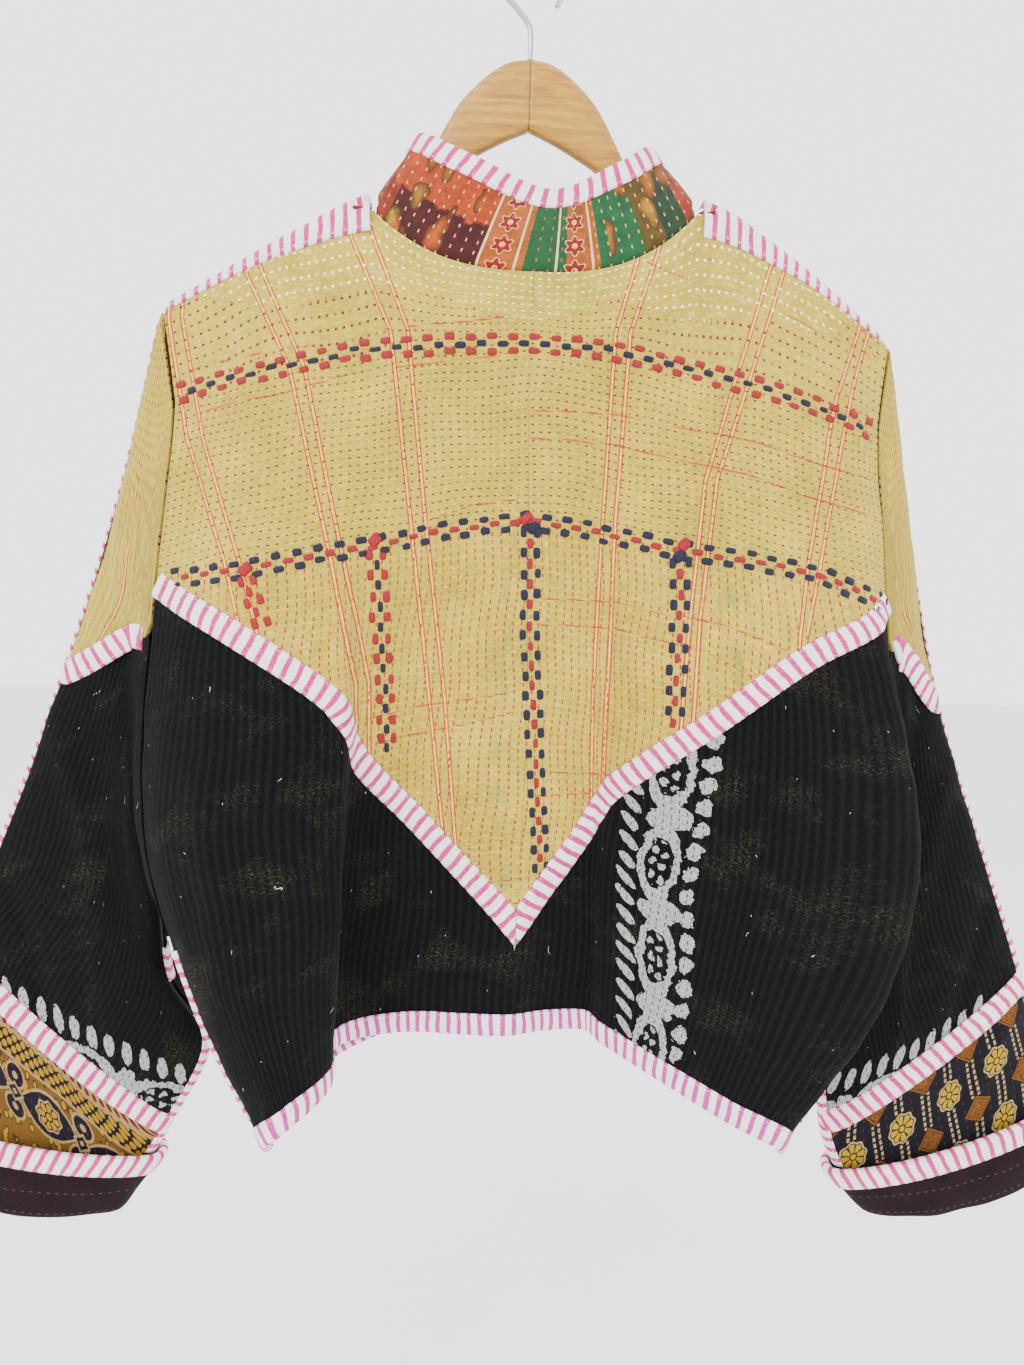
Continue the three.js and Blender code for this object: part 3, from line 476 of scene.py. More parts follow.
def yoke_edge(sign, down):
    across = np.linspace(VEE_TIP, sign, 400)
    edge = np.interp(-down, -vee_down(across, sign), across) - sign * 0.0012
    return np.where(down <= vee_down(sign, sign), sign * SIDE, edge)


# The lines woven into the cloth, by where they hang: x and z.
UPRIGHTS = [
    [(-215, -223), (-203, -294), (-177, -366), (-160, -430)],
    [(-207, -221), (-192, -294), (-168, -366), (-150, -430)],
    [(-180, -160), (-172, -187), (-140, -251), (-114, -365), (-100, -440)],
    [(-172, -155), (-164, -182), (-131, -251), (-107, -364), (-92, -440)],
    [(-125, -140), (-107, -168), (-80, -228), (-67, -339), (-54, -451), (-46, -518), (-36, -600)],
    [(-113, -136), (-95, -164), (-70, -226), (-58, -339), (-44, -451), (-36, -537), (-28, -600)],
    [(72, -150), (66, -182), (54, -225), (52, -336), (51, -450), (53, -517), (54, -600)],
    [(88, -146), (78, -178), (63, -225), (60, -335), (60, -449), (61, -510), (62, -600)],
    [(165, -140), (152, -176), (129, -249), (113, -310), (107, -395), (104, -470)],
    [(175, -144), (160, -180), (138, -248), (120, -309), (113, -395), (111, -470)],
    [(222, -180), (212, -207), (194, -257), (178, -357), (173, -406), (168, -470)],
    [(228, -185), (217, -212), (203, -257), (186, -356), (177, -406), (174, -470)]]
LEVELS = [
    [(-202, -254), (-105, -231), (-9, -217)], [(-202, -282), (-104, -254), (-6, -238)],
    [(-55, -338), (-30, -328), (0, -324)],
    [(5, -272), (59, -272), (133, -285), (220, -306)], [(5, -288), (60, -290), (134, -306), (225, -330)],
    [(91, -169), (158, -192), (229, -221)], [(68, -180), (145, -201), (225, -231)],
    [(15, -386), (65, -386), (125, -398), (173, -415)], [(15, -402), (66, -403), (113, -413), (147, -431)],
    [(22, -498), (64, -499)], [(15, -514), (52, -512)], [(-94, -464), (-47, -453), (1, -444)],
    [(-87, -480), (-46, -470), (1, -457)], [(-22, -571), (14, -567)], [(-12, -587), (13, -583)]]


def line_fields(x, z):
    """How each place lies to the woven lines: a coordinate that is a multiple of 50 on every
    upright line and true millimetres near it, and the distance to the nearest level line."""
    at = np.stack([np.interp(-z, [-p[1] for p in line], [p[0] for p in line]) for line in UPRIGHTS])
    index = (at < x).sum(0)
    padded = np.concatenate([at[:1] - 400, at, at[-1:] + 400])
    before = x - np.take_along_axis(padded, index[None], 0)[0]
    after = np.take_along_axis(padded, index[None] + 1, 0)[0] - x
    warp = np.where(after < 3.4, (index + 1) * 50 - after, index * 50 + 25)
    warp = np.where(before < 3.4, index * 50 + before, warp)
    gap = np.full(x.shape, 50.0)
    for line in LEVELS:
        xs, zs = [p[0] for p in line], [p[1] for p in line]
        away = np.abs(z - np.interp(x, xs, zs) - 0.8 * np.sin(x / 17))
        gap = np.minimum(gap, np.where((x >= xs[0]) & (x <= xs[-1]), away, 50))
    return warp, gap


YOKE_CREASES = [
    (-74, -215, -66, -420, 9, -2.2), (-50, -260, -46, -430, 7, 1.2), (52, -340, 70, -520, 9, -2.4),
    (-150, -250, -128, -400, 10, -1.8), (-172, -215, -150, -330, 9, 1.5), (96, -230, 104, -380, 11, -1.8),
    (150, -240, 132, -360, 10, 1.4), (192, -230, 176, -340, 8, -1.6), (-205, -240, -198, -380, 7, -1.3),
    (-130, -150, -60, -205, 9, -1.2), (120, -150, 76, -208, 9, -1.4), (170, -190, 120, -240, 8, 1.1),
    (-8, -330, -14, -540, 8, 1.2), (24, -420, 20, -560, 6, -1.2), (-96, -380, -70, -500, 7, 1.3)]


def quilting(sx, sy, upright):
    """Height of the quilted cloth: it sinks at each row of stitches and swells between them."""
    swell_y, swell_x = humps(sy, 5), humps(sx, 5)
    return 0.42 * mix(swell_y ** 0.7, swell_x ** 0.8, 0.3 + 0.45 * upright) + 0.12 * swell_x * swell_y


yoke_grid = {}
for half, sign in SIGNS.items():
    down = np.linspace(0.0012, 0.8475, 301)[:, None]
    inner = VEE_TIP * ease(down / 0.832) + sign * 0.0003
    across = mix(inner, yoke_edge(sign, down), np.linspace(0, 1, 161)[None])
    down = np.broadcast_to(down, across.shape)
    points = back(across, down)
    normals = normals_of(points, (0, -1, 0.2))
    x, z = points[..., 0], points[..., 2]
    sx = across * HALF_WIDE + 1.3 * wander(across * HALF_WIDE, down * LONG, 3, 90)
    sy = down * LONG + 1.5 * wander(across * HALF_WIDE, down * LONG, 4, 110)
    rows = np.floor(sy / 5 + 0.5)
    sx = sx + 0.9 * np.sin(rows * 12.9898)
    point = (down > 0.333 - 0.02 * np.abs(across)).astype(float)
    cream = z > -212 + 9 * wander(x, z, 8, 80)
    zone = np.where(cream, 2, point)
    warp, weft = line_fields(x, z)
    stain = 0.25 + np.exp(-((x - 132) / 40) ** 2 - ((z + 400) / 45) ** 2)
    stain = stain + 0.8 * np.exp(-((x + 6) / 7) ** 2) * (z < -240)
    rise = quilting(sx, sy, point) * ease((np.abs(across - inner)) * HALF_WIDE / 3)
    rise = rise * ease((down - 0.0012) * LONG / 6)
    rise = rise + creases(points, YOKE_CREASES) * ease((down - 0.004) * LONG / 14)
    rise = rise + 0.5 * wander(x, z, 11, 46)
    points = points + normals * (rise * ease(down * LONG / 20))[..., None]
    fields = {"stitch": on_cloth(sx, sy, zone), "lines": np.stack([warp, weft, stain], -1)}
    add_cloth(f"yoke_{half}", points, normals, olive, fields)
    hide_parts(f"back_yoke_{half}")
    yoke_grid[half] = (points, normals)


# ---- Chequered embroidery ----
# Blocks of thick red and navy cotton, worked in flat stitches over the yoke: two lines across it
# and four down from the lower line, with knots where they meet.
# Stranded embroidery cotton, mercerised: bright, with fine ribs of the single threads.
def thread_material(name, dark, light):
    made = start_material(name)
    place = kept("stitch")
    ribs = bands(place, "Y", 0.32, 1.2, 1.0)
    fibre = noise(place, 1.2, 3.0)
    base = blend(span(fibre, 0.3, 0.7), dark, light)
    # Painted shade: the grooves between the ribs, where the bump is low, are darkened toward the dark thread
    # colour.
    base = paint(base, times(times_plus(ribs, -1.0, 1.0), 0.35), dark)
    end_material(base, ribs, 0.0002, Roughness=0.6, Sheen_Weight=0.05, Specular_IOR_Level=0.3)
    return made


red_cotton = thread_material("stranded embroidery cotton, red", "6e0010", "a8021c")
navy_cotton = thread_material("stranded embroidery cotton, navy", "02041c", "080c38")
BORDERS = [
    ([(-209, -267), (-158, -254), (-104, -241), (-51, -235), (-3, -233), (45, -234), (107, -245),
      (164, -258), (219, -275)], "red", "navy"),
    ([(-211, -379), (-164, -372), (-126, -362), (-88, -355), (-43, -344), (6, -337), (51, -343),
      (100, -353), (142, -358), (186, -366), (230, -383)], "navy", "red"),
    ([(-164, -375), (-159, -390), (-153, -406)], "red", "red"),
    ([(-88, -357), (-85, -401), (-82, -445), (-80, -486)], "red", "navy"),
    ([(7, -341), (9, -411), (15, -489), (21, -571)], "navy", "red"),
    ([(100, -357), (101, -408), (100, -463)], "navy", "red")]
KNOTS = {"red": [(-164, -371), (-88, -352), (4, -336), (102, -350)],
         "navy": [(9, -341), (99, -356), (233, -386), (238, -392)]}
pads = {"red": [], "navy": []}
dice = np.random.default_rng(21)
all_points = np.concatenate([g[0].reshape(-1, 3) for g in yoke_grid.values()])
all_normals = np.concatenate([g[1].reshape(-1, 3) for g in yoke_grid.values()])
for line, sides, middle in BORDERS:
    line = np.array(line, float)
    steps = np.r_[0, np.cumsum(np.hypot(*np.diff(line, axis=0).T))]
    count = int(steps[-1] / 6.3)
    for k in range(count):
        s = (k + 0.5) * steps[-1] / count
        at = lambda s: np.array([np.interp(s, steps, line[:, 0]), np.interp(s, steps, line[:, 1])])
        here = at(s)
        ahead = at(s + 2) - here if s + 2 < steps[-1] else here - at(s - 2)
        way = ahead / np.hypot(*ahead)
        off = np.array([-way[1], way[0]])
        blocks = [(0.0, middle)] if k % 2 else [(4.1, sides), (-4.1, sides)]
        for aside, hue in blocks:
            spot = here + off * (aside + dice.uniform(-0.4, 0.4))
            long, wide = dice.uniform(2.9, 3.5), (2.05 if aside else 1.75) + dice.uniform(-0.2, 0.3)
            pads[hue].append((spot, way, long, wide, 0.55))
for hue, places in KNOTS.items():
    pads[hue] += [(np.array(spot, float), np.array([0.7, 0.7]), 4.4, 3.4, 1.4) for spot in places]
grid_a, grid_b = np.meshgrid(np.linspace(-1, 1, 7), np.linspace(-1, 1, 5), indexing="ij")
round_a = grid_a * np.sqrt(1 - 0.28 * grid_b ** 4)
round_b = grid_b * np.sqrt(1 - 0.28 * grid_a ** 4)
dome = (1 - np.abs(grid_a) ** 5) * (1 - np.abs(grid_b) ** 5)
for hue, material in (("red", red_cotton), ("navy", navy_cotton)):
    points, faces, fields = [], [], []
    for centre, way, long, wide, thick in pads[hue]:
        near = np.argmin((all_points[:, 0] - centre[0]) ** 2 + (all_points[:, 2] - centre[1]) ** 2)
        normal = all_normals[near]
        along = np.array([way[0], 0, way[1]])
        along -= normal * (along @ normal)
        along /= np.linalg.norm(along)
        aside = np.cross(normal, along)
        ribs = 0.12 * np.cos(grid_b * 6.3 + near)
        middle = all_points[near] + along * (centre[0] - all_points[near][0]) * way[0]
        flat = middle + along * (round_a * long)[..., None] + aside * (round_b * wide)[..., None]
        top = flat + normal * (WALL / 2 + 0.25 + dome * (thick + 0.25 + ribs))[..., None]
        low = flat + normal * (WALL / 2 - 0.6)
        start = sum(len(p) for p in points)
        ids = start + np.arange(grid_a.size).reshape(grid_a.shape)
        under = ids + grid_a.size
        ring = np.r_[ids[:-1, 0], ids[-1, :-1], ids[:0:-1, -1], ids[0, :0:-1]]
        made = quads_of(ids).tolist() + quads_of(under)[:, ::-1].tolist()
        beside = np.roll(ring, -1)
        made += np.stack([ring, ring + grid_a.size, beside + grid_a.size, beside], -1).tolist()
        first = top[0, 0]
        if np.cross(top[1, 0] - first, top[1, 1] - top[1, 0]) @ normal < 0:
            made = [f[::-1] for f in made]
        faces += made
        points += [top.reshape(-1, 3), low.reshape(-1, 3)]
        field = on_cloth(round_a * long, round_b * wide, near % 50).reshape(-1, 3)
        fields += [field, field]
    fields = {"stitch": np.vstack(fields)}
    add_piece(f"chequer_embroidery_{hue}", np.vstack(points), faces, material, fields)


# ---- Back lower panel ----
# One piece of black cotton, quilted in upright ribs, from the yoke's V to the hem, with a strip
# of resist-dyed print in it. It falls in two large folds with a hollow between them.
# Old black cotton over printed layers: matt charcoal, worn through in speckled patches, with
# lint, and a strip where wax kept the white of the cloth.
def batik(s, t, place):
    """Slanting ovals, ringed leaves with blots between them, and dots, in three columns of a
    strip: s from 0 to 1 across it, t in millimetres along it. Gives 1 where the cloth stayed white."""
    wobble = noise(place, 0.12, 3.0, 0.65)
    drift = plus(wobble, -0.5)
    t = times_plus(drift, 9.0, t)
    s = times_plus(drift, 0.16, s)

    def spot(half_way, along, centre, across, inverse=False):
        """Distance to the nearest of a row of spots, 1 at their edge."""
        u = bounce(t, half_way)
        if inverse:
            u = minus(half_way, u)
        u = times(u, 1 / along)
        v = times(plus(s, -centre), 60 / across)
        return distance(u, v)

    straight = t
    t = times_plus(s, -34.0, t)
    ovals = times(below(spot(6.5, 3.9, 0.15, 7.0), 1.0), below(s, 0.3))
    t = times_plus(s, 12.0, straight)
    leaf = spot(32.0, 23.0, 0.52, 12.0)
    ring = close_to(leaf, 0.98, 0.2)
    blots = below(spot(32.0, 8.5, 0.56, 15.0, True), 1.0)
    t = times_plus(s, 20.0, straight)
    drops = times(below(spot(4.6, 2.6, 0.455, 2.3), 1.0), below(leaf, 0.7))
    more = times(below(spot(4.6, 2.6, 0.565, 2.3, True), 1.0), below(leaf, 0.7))
    dots = below(spot(7.6, 5.6, 0.88, 5.0), 1.0)
    total = ovals
    for mask in (ring, blots, drops, more, dots):
        total = either(total, mask)
    return times(close_to(s, 0.5, 0.5), total)


black = start_material("old black cotton, quilted")
place = kept("stitch")
sx, sy, _ = split(place)
strip_across, strip_along, _ = split(kept("strip"))
speck = noise(place, 0.75, 3.0, 0.7)
patch = noise(place, 0.02, 4.0, 0.65)
faded = times(span(patch, 0.52, 0.66), span(speck, 0.5, 0.68))
fine = noise(stretch(place, (1, 0.3, 1)), 0.9, 3.0, 0.6)
base = blend(span(fine, 0.3, 0.75), "020303", "0a0b0c")
# Painted highlight with wear: the swells between the rows of stitches are lightened to grey in speckles,
# partly a painted highlight on the ribs, partly the worn grey fibres on them.
ridge_highlight_and_wear = span(bounce(sx, 2.25), 0.9, 2.2, 0.0, 0.3)
base = paint(base, times(ridge_highlight_and_wear, speck), "23282a")
base = paint(base, times(faded, 0.8), "484028")
white = batik(strip_across, strip_along, place)
grey = blend(span(speck, 0.35, 0.6), "63656a", "a9a9a4")
base = node("MixRGB", times(white, span(fine, 0.25, 0.4, 0.4, 0.95)), base, grey)
# The rows of black stitches, and lint caught in them.
dash = dashes(sx, sy, 2.25, 0.4, 2.6, 1.3)
base = paint(base, times(dash, 0.7), "020303")
curl = stretch(noise(place, 0.09, 2.0, out=1), (16, 16, 0))
lint = cells_of(stretch(shift(place, curl), (1, 0.3, 0)), 0.045, voronoi_dimensions="2D")
base = paint(base, times(below(lint, 0.01), 0.8), "b9bab4")
end_material(base, plus(fine, speck), 0.0004, Roughness=0.95, Sheen_Weight=0.015,
             Sheen_Roughness=0.5, Specular_IOR_Level=0.1)

LOWER_CREASES = [
    (-175, -420, -150, -640, 10, -2.0), (-140, -460, -128, -680, 8, 1.8), (-192, -480, -172, -650, 8, 1.5),
    (-60, -560, -80, -670, 8, -2.0), (-30, -590, -36, -670, 7, 1.3), (40, -590, 30, -670, 8, -1.5),
    (150, -440, 136, -640, 10, -2.2), (180, -430, 160, -620, 9, 1.8), (110, -520, 104, -680, 8, 1.6),
    (212, -480, 190, -640, 8, -1.6), (84, -560, 78, -680, 7, -1.3), (-120, -600, -135, -700, 6, -1.4)]
across = np.linspace(-SIDE, SIDE, 261)[:, None]
top = np.where(across < VEE_TIP, vee_down(np.minimum(across, VEE_TIP), -1),
               vee_down(np.maximum(across, VEE_TIP), 1)) + 0.0035
down = mix(top, 1, np.linspace(0, 1, 189)[None])
across = np.broadcast_to(across, down.shape)
points = back(across, down)
normals = normals_of(points, (0, -1, 0))
sx = across * HALF_WIDE + 1.6 * wander(across * HALF_WIDE, down * LONG, 5, 120)
sy = down * LONG + 1.2 * wander(across * HALF_WIDE, down * LONG, 6, 60)
sy = sy + 1.7 * np.sin(np.floor(sx / 4.5 + 0.5) * 12.9898)
rise = 0.42 * humps(sx, 4.5) ** 0.8 + 0.14 * humps(sy, 5.2)
rise = rise + creases(points, LOWER_CREASES) + 0.5 * wander(points[..., 0], points[..., 2], 13, 50)
rise = rise * ease((down - top) * LONG / 10) * ease((1 - down) * LONG / 12)
points = points + normals * rise[..., None]
left_edge = np.interp(down, [0.6, 0.75, 1], [0.30, 0.30, 0.34])
right_edge = np.interp(down, [0.5, 0.75, 1], [0.56, 0.51, 0.59])
strip = on_cloth((across - left_edge) / (right_edge - left_edge), down * LONG)
fields = {"stitch": on_cloth(sx, sy), "strip": strip}
lower_grid = (points, normals)
lower = add_cloth("lower_back", points, normals, black, fields)
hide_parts("back_lower")


# ---- Fronts ----
# Two quilted panels of printed cotton, open in the middle, joined to the back at the shoulders
# and under the arms. They hang freely behind the back, down to the same hem.
FRONT_ACROSS = [0.03, 0.25, 0.5, 0.72, 0.88]
FRONT_REACH = [0.05, 0.28, 0.56, 0.82, 0.965]
FRONT_Y = [[20, 28, 34, 38, 38], [20, 26, 32, 36, 36], [20, 26, 31, 32, 30], [18, 23, 24, 20, 14],
           [14, 18, 8, -12, -22]]
ARMHOLE_OPEN = ([0, 0.1, 0.32, 0.614, 0.7, 0.74, 0.753, 0.8, 1], [2, 22, 34, 28, 19, 10, 3, 0.5, 0])


def front_table(across, down):
    across, down = np.broadcast_arrays(np.asarray(across, float), np.asarray(down, float))
    side = back_table(np.sign(across), down)
    side_y = side[..., 1] + curve(*ARMHOLE_OPEN, down)
    x = [reach * side[..., 0] for reach in FRONT_REACH] + [side[..., 0]]
    y = [curve(DOWN, row, down) for row in FRONT_Y] + [side_y]
    knots = [*FRONT_ACROSS, 1]
    aside = np.abs(across)
    return np.stack([curve(knots, x, aside), curve(knots, y, aside), level_height(across, down)], -1)


def neck_front(x):
    share = np.minimum(neck_share(x), 1)
    point = neck_point(x)
    return mix(24, 8, share ** 2), mix(point - 62, point, share ** 1.6)


def front(across, down):
    across, down = np.broadcast_arrays(np.asarray(across, float), np.asarray(down, float))
    low = front_table(across, np.maximum(down, CHEST_LINE))
    x = curve(ACROSS, [row[0] for row in FOLDS_X], across)
    turn = (np.pi - np.maximum(curve(*SEAM_TURN, x), 0)) * ease((neck_share(x) - 1) / 0.06)
    high = shoulder_part(x, turn, -1, neck_front(x), front_table(across, CHEST_LINE), down)
    return np.where((down >= CHEST_LINE)[..., None], low, high)


# Machine-printed cotton: a warm orange-red ground with loose ochre leaves and dark shadows.
orange = start_material("printed orange cotton, quilted")
place = kept("stitch")
sx, sy, _ = split(place)
warped = shift(place, stretch(noise(place, 0.03, 2.0, out=1), (14, 14, 0)))
leaf = cells_of(stretch(warped, (1, 0.5, 1)), 0.028)
inside = below(leaf, 0.38)
fine = noise(stretch(place, (1, 0.3, 1)), 0.9, 3.0, 0.6)
ground = blend(noise(place, 0.04, 3.0), "541002", "942e04")
leaves = blend(span(leaf, 0.05, 0.36), "340c04", "9a6410")
base = node("MixRGB", inside, ground, leaves)
stem = below(bounce(split(warped)[0], 21.0), 0.9)
base = paint(base, times(stem, 0.7), "5c3a1c")
base = paint(base, span(fine, 0.4, 0.8, 0.0, 0.4), "7a2f18")
dash = dashes(sx, sy, 3.0, 0.34, 3.0, 1.1)
base = paint(base, dash, "c8a468")
end_material(base, fine, 0.0004, Roughness=0.9, Sheen_Weight=0.1, Specular_IOR_Level=0.25)

FRONT_CREASES = [
    (-60, -230, -50, -520, 12, 3.0), (-110, -260, -96, -600, 12, -3.2), (-160, -300, -140, -560, 10, 2.4),
    (-30, -420, -34, -660, 9, -2.2), (60, -240, 48, -500, 12, -3.0), (105, -280, 92, -620, 12, 3.2),
    (160, -300, 150, -560, 10, -2.5), (30, -400, 36, -650, 9, 2.3)]
front_grid = {}
for half, sign in SIGNS.items():
    across, down = np.meshgrid(np.linspace(0.04, 0.988, 89) * sign, np.linspace(0.003, 1, 205), indexing="ij")
    points = front(across, down)
    normals = normals_of(points, (0, 1, 0.2))
    sx = across * HALF_WIDE + 1.5 * wander(across * HALF_WIDE, down * LONG, 7, 90)
    sy = down * LONG + 1.5 * wander(across * HALF_WIDE, down * LONG, 9, 100)
    rise = 0.5 * humps(sx, 6) ** 0.8 + 0.15 * humps(sy, 6)
    rise = rise + creases(points, FRONT_CREASES) + 0.8 * wander(points[..., 0], points[..., 2], 15 + sign, 70)
    aside = np.abs(across)
    rise = rise * ease((aside - 0.04) * HALF_WIDE / 9) * ease((0.988 - aside) * HALF_WIDE / 14)
    rise = rise * ease(down * LONG / 60 - 0.25) * ease((1 - down) * LONG / 12)
    points = points + normals * rise[..., None]
    # Beside the neck the upper corner lies low, under the shoulder's tape.
    corner = np.exp(-((neck_share(points[..., 0]) - 1.03) / 0.07) ** 2) * (1 - ease(down * LONG / 16))
    points[..., 1:] += corner[..., None] * np.array([0.6, -5.0])
    front_grid[half] = (points, normals)
    fields = {"stitch": on_cloth(sx, sy)}
    add_cloth(f"front_{half}_print", points, normals, orange, fields)
    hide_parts(f"front_{half}")


# ---- Collar ----
# A low stand collar, quilted, pieced from strips of several prints. It is set on the neckline,
# leans in over the hanger at the back and opens in front.
COLLAR_ROUND = [0, 0.15, 0.27, 0.37, 0.5, 0.63, 0.73, 0.85, 1]
COLLAR_TOP = np.array([[-8, 34, -112], [-46, 21, -77], [-66, -2, -48], [-38, -18, -62], [13, -21, -82],
                       [54, -17, -64], [75, -1, -49], [60, 20, -78], [24, 34, -112]], float)


def neckline(around):
    way = 2 * around - 1
    half = np.where(way < 0, NECK_MIDDLE - NECK_LEFT, NECK_RIGHT - NECK_MIDDLE)
    x = NECK_MIDDLE + half * np.sin(way * np.pi) * 0.985
    over = np.clip((np.abs(way) - 0.5 + 0.05) / 0.1, 0, 1)
    (back_y, back_z), (front_y, front_z) = neck_back(x), neck_front(x)
    return np.stack([x, mix(back_y, front_y, ease(over)),
                     mix(back_z, front_z, ease(over)) + (SHOULDER_RADIUS + 2) * np.sin(np.pi * over)], -1)


def collar_stand(around, up):
    top = np.stack([curve(COLLAR_ROUND, COLLAR_TOP[:, k], around) for k in range(3)], -1)
    top[..., 2] += WOOD_TOP
    place = mix(neckline(around), top, up[..., None])
    place[..., 1] -= 2 * np.sin(np.pi * up)
    return place


# Printed cottons, pieced and quilted: soft painterly leaves on plum, rust and green grounds, with
# ochre strips of small flowers, and rows of cream and magenta stitches.
print_patches = start_material("pieced printed cottons, quilted")
place = kept("stitch")
sx, sy, _ = split(place)
ramp = node("ValToRGB", span(sx, -110.0, 110.0))
ramp.node.color_ramp.interpolation = "CONSTANT"
stops = [(0.0, "7c2804"), (0.06, "38020e"), (0.355, "9a5800"), (0.465, "00582e"), (0.575, "9a5800"),
         (0.665, "005a34"), (0.8, "4c4404"), (0.87, "0c3a24"), (0.95, "8c2c04")]
for k, (at, text) in enumerate(stops):
    stop = ramp.node.color_ramp.elements[k] if k < 2 else ramp.node.color_ramp.elements.new(at)
    stop.position, stop.color = at, colour(text)
shade = noise(place, 0.09, 4.0, 0.7)
# On plum, a painted band of orange along the upper edge.
upper = span(times_plus(shade, 16.0, sy), 33.0, 35.0)
upper = times(upper, below(sx, -31.5))
shades = blend(span(shade, 0.35, 0.65), "20100c", "d8a060")
base = node("MixRGB", 0.55, paint(ramp, upper, "9c3c00"), shades, blend_type="OVERLAY")
drifted = shift(place, stretch(noise(place, 0.06, 2.0, out=1), (12, 12, 0)))
leaf = cells_of(stretch(drifted, (1, 0.5, 1)), 0.07)
picture = beyond(size_of(sx), 44.0)
where_leaf = times(below(leaf, 0.4), picture)
leaves = blend(split(leaf.node.outputs[1])[0], "a83c00", "8c7800")
leaves = paint(leaves, span(leaf, 0.12, 0.4), "3c1404")
base = node("MixRGB", where_leaf, base, leaves)
# Small flowers in the ochre strips, between beige lines.
aside = plus(size_of(sx), -22.0)
petal = distance(aside, bounce(sy, 7.8))
turn = times(arctan2(aside, bounce(sy, 7.8)), 6.0)
edge = times_plus(cosine(turn), 1.2, 5.0)
flower = below(petal, edge)
rim = below(plus(petal, -0.8), edge)
base = paint(base, rim, "c8a868")
base = node("MixRGB", flower, base, blend(below(petal, 1.8), "780808", "c8a868"))
edge_line = close_to(size_of(aside), 10.5, 0.7)
base = paint(base, edge_line, "cdb98c")
fine = noise(stretch(place, (1, 0.3, 1)), 1.0, 3.0, 0.6)
base = paint(base, span(fine, 0.4, 0.8, 0.0, 0.35), "3a1c10")
dash = dashes(sx, sy, 3.6, 0.42, 3.5, 1.1)
middle = below(size_of(sx), 33.0)
base = node("MixRGB", dash, base, blend(middle, "c8a04c", "b80050"))
end_material(base, plus(fine, dash), 0.0004, Roughness=0.88, Sheen_Weight=0.1, Specular_IOR_Level=0.28)

around, up = np.meshgrid(np.linspace(0.025, 0.975, 241), np.linspace(-0.09, 1, 45), indexing="ij")
points = collar_stand(around, up)
middle = points.reshape(-1, 3).mean(0)
normals = normals_of(points, points - middle)
points = points - normals * (2.9 * ease((0.05 - up) / 0.1))[..., None]
length = run_of(points[:, 12])
length = length - np.interp(0.5, around[:, 0], length)
high = np.linalg.norm(points[:, -1] - points[:, 0], axis=-1)
sx = np.broadcast_to(length[:, None], up.shape)
sy = up * high[:, None]
rise = 0.5 * humps(sx, 6.4) ** 0.8 + 0.2 * wander(sx, sy, 17, 30)
rise = rise * ease(up / 0.12) * ease((1 - up) / 0.15)
points = points + normals * rise[..., None]
collar_grid = (points, normals)
fields = {"stitch": on_cloth(sx, sy)}
collar = add_cloth("collar_patched", points, normals, print_patches, fields)
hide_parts("collar")


# ---- Sleeves ----
# Wide tubes that narrow to the cuff, each made of a back and a front half in three parts: olive
# cotton at the shoulder, black cotton below a slanting seam, and a band of brocade.
ARMHOLE_GAP = 1.2
SLEEVE_KNOTS = [0, 0.2, 0.4, 0.6, 0.8, 0.9, 1]
# The overarm and the underarm line after the armhole, then the half depth and the sag at each knot.
SLEEVE_ROWS = {
    "left": ([(-247, 4, -262), (-286, 6, -378), (-331, 8, -492), (-366, 8, -556), (-389, 9, -672),
              (-397, 10, -722)],
             [(-227, -5, -526), (-225, 7, -584), (-202, 10, -630), (-228, 10, -687), (-238, 10, -704),
              (-264, 10, -744)],
             [6, 15, 16, 16, 14, 13, 12], [0, 0, 0, 0, 3, 5, 8]),
    "right": ([(250, 4, -262), (282, 6, -386), (328, 8, -502), (358, 8, -578), (387, 9, -664),
               (394, 10, -714)],
              [(250, 1, -518), (250, 9, -580), (228, 11, -642), (228, 10, -684), (239, 10, -716),
               (264, 10, -748)],
              [6, 20, 18, 16, 14, 13, 12], [0, 0, 0, 0, 3, 5, 10]),
}


def armhole_edge(half, turn):
    sign = SIGNS[half]
    down = (1 - np.cos(turn)) / 2 * 0.75
    edge = np.where((turn <= np.pi)[..., None], back(sign, down), front(sign, down))
    edge[..., 0] += sign * ARMHOLE_GAP
    return edge


def sleeve(half, along, turn):
    """The sleeve's middle surface: turn goes round the tube from the overarm, by the back, to pi
    at the underarm; along goes from the armhole to the cuff's fold."""
    along, turn = np.broadcast_arrays(np.asarray(along, float), np.asarray(turn, float))
    shape = along.shape
    along, turn = along.ravel(), turn.ravel()
    overs, unders, swells, sags = SLEEVE_ROWS[half]
    over, under = armhole_edge(half, np.array([0.0, np.pi]))
    rows = lambda first, rest: np.vstack([first, np.array(rest, float) + (0, 0, WOOD_TOP)]).T
    line = lambda rows: np.stack([curve(SLEEVE_KNOTS, row, along) for row in rows], -1)
    over_at, under_at = line(rows(over, overs)), line(rows(under, unders))
    share = (1 - np.cos(turn)) / 2
    bulge = np.sign(np.sin(turn)) * np.abs(np.sin(turn)) ** 0.65
    place = mix(over_at, under_at, share[:, None])
    place[:, 1] -= curve(SLEEVE_KNOTS, swells, along) * bulge
    place[:, 2] -= curve(SLEEVE_KNOTS, sags, along) * np.sin(turn) ** 2
    fade = 1 - ease(along / 0.32)
    turns, where = np.unique(turn, return_inverse=True)
    edge = armhole_edge(half, turns)[where.ravel()]
    plain = mix(over, under, share[:, None])
    plain[:, 1] -= 6 * bulge
    return (place + (edge - plain) * fade[:, None]).reshape(*shape, 3)


def even_turns(half, along, first, last, count):
    """Turns from first to last at even distances round the tube."""
    fine = np.linspace(first, last, 1500)
    round_line = sleeve(half, along, fine)
    length = run_of(round_line)
    return np.interp(np.linspace(0, length[-1], count), length, fine)


def seam_one(turn):
    return 0.4 * np.maximum(1 - (1 - np.cos(turn)) / 2 / 0.5, 0) ** 0.6


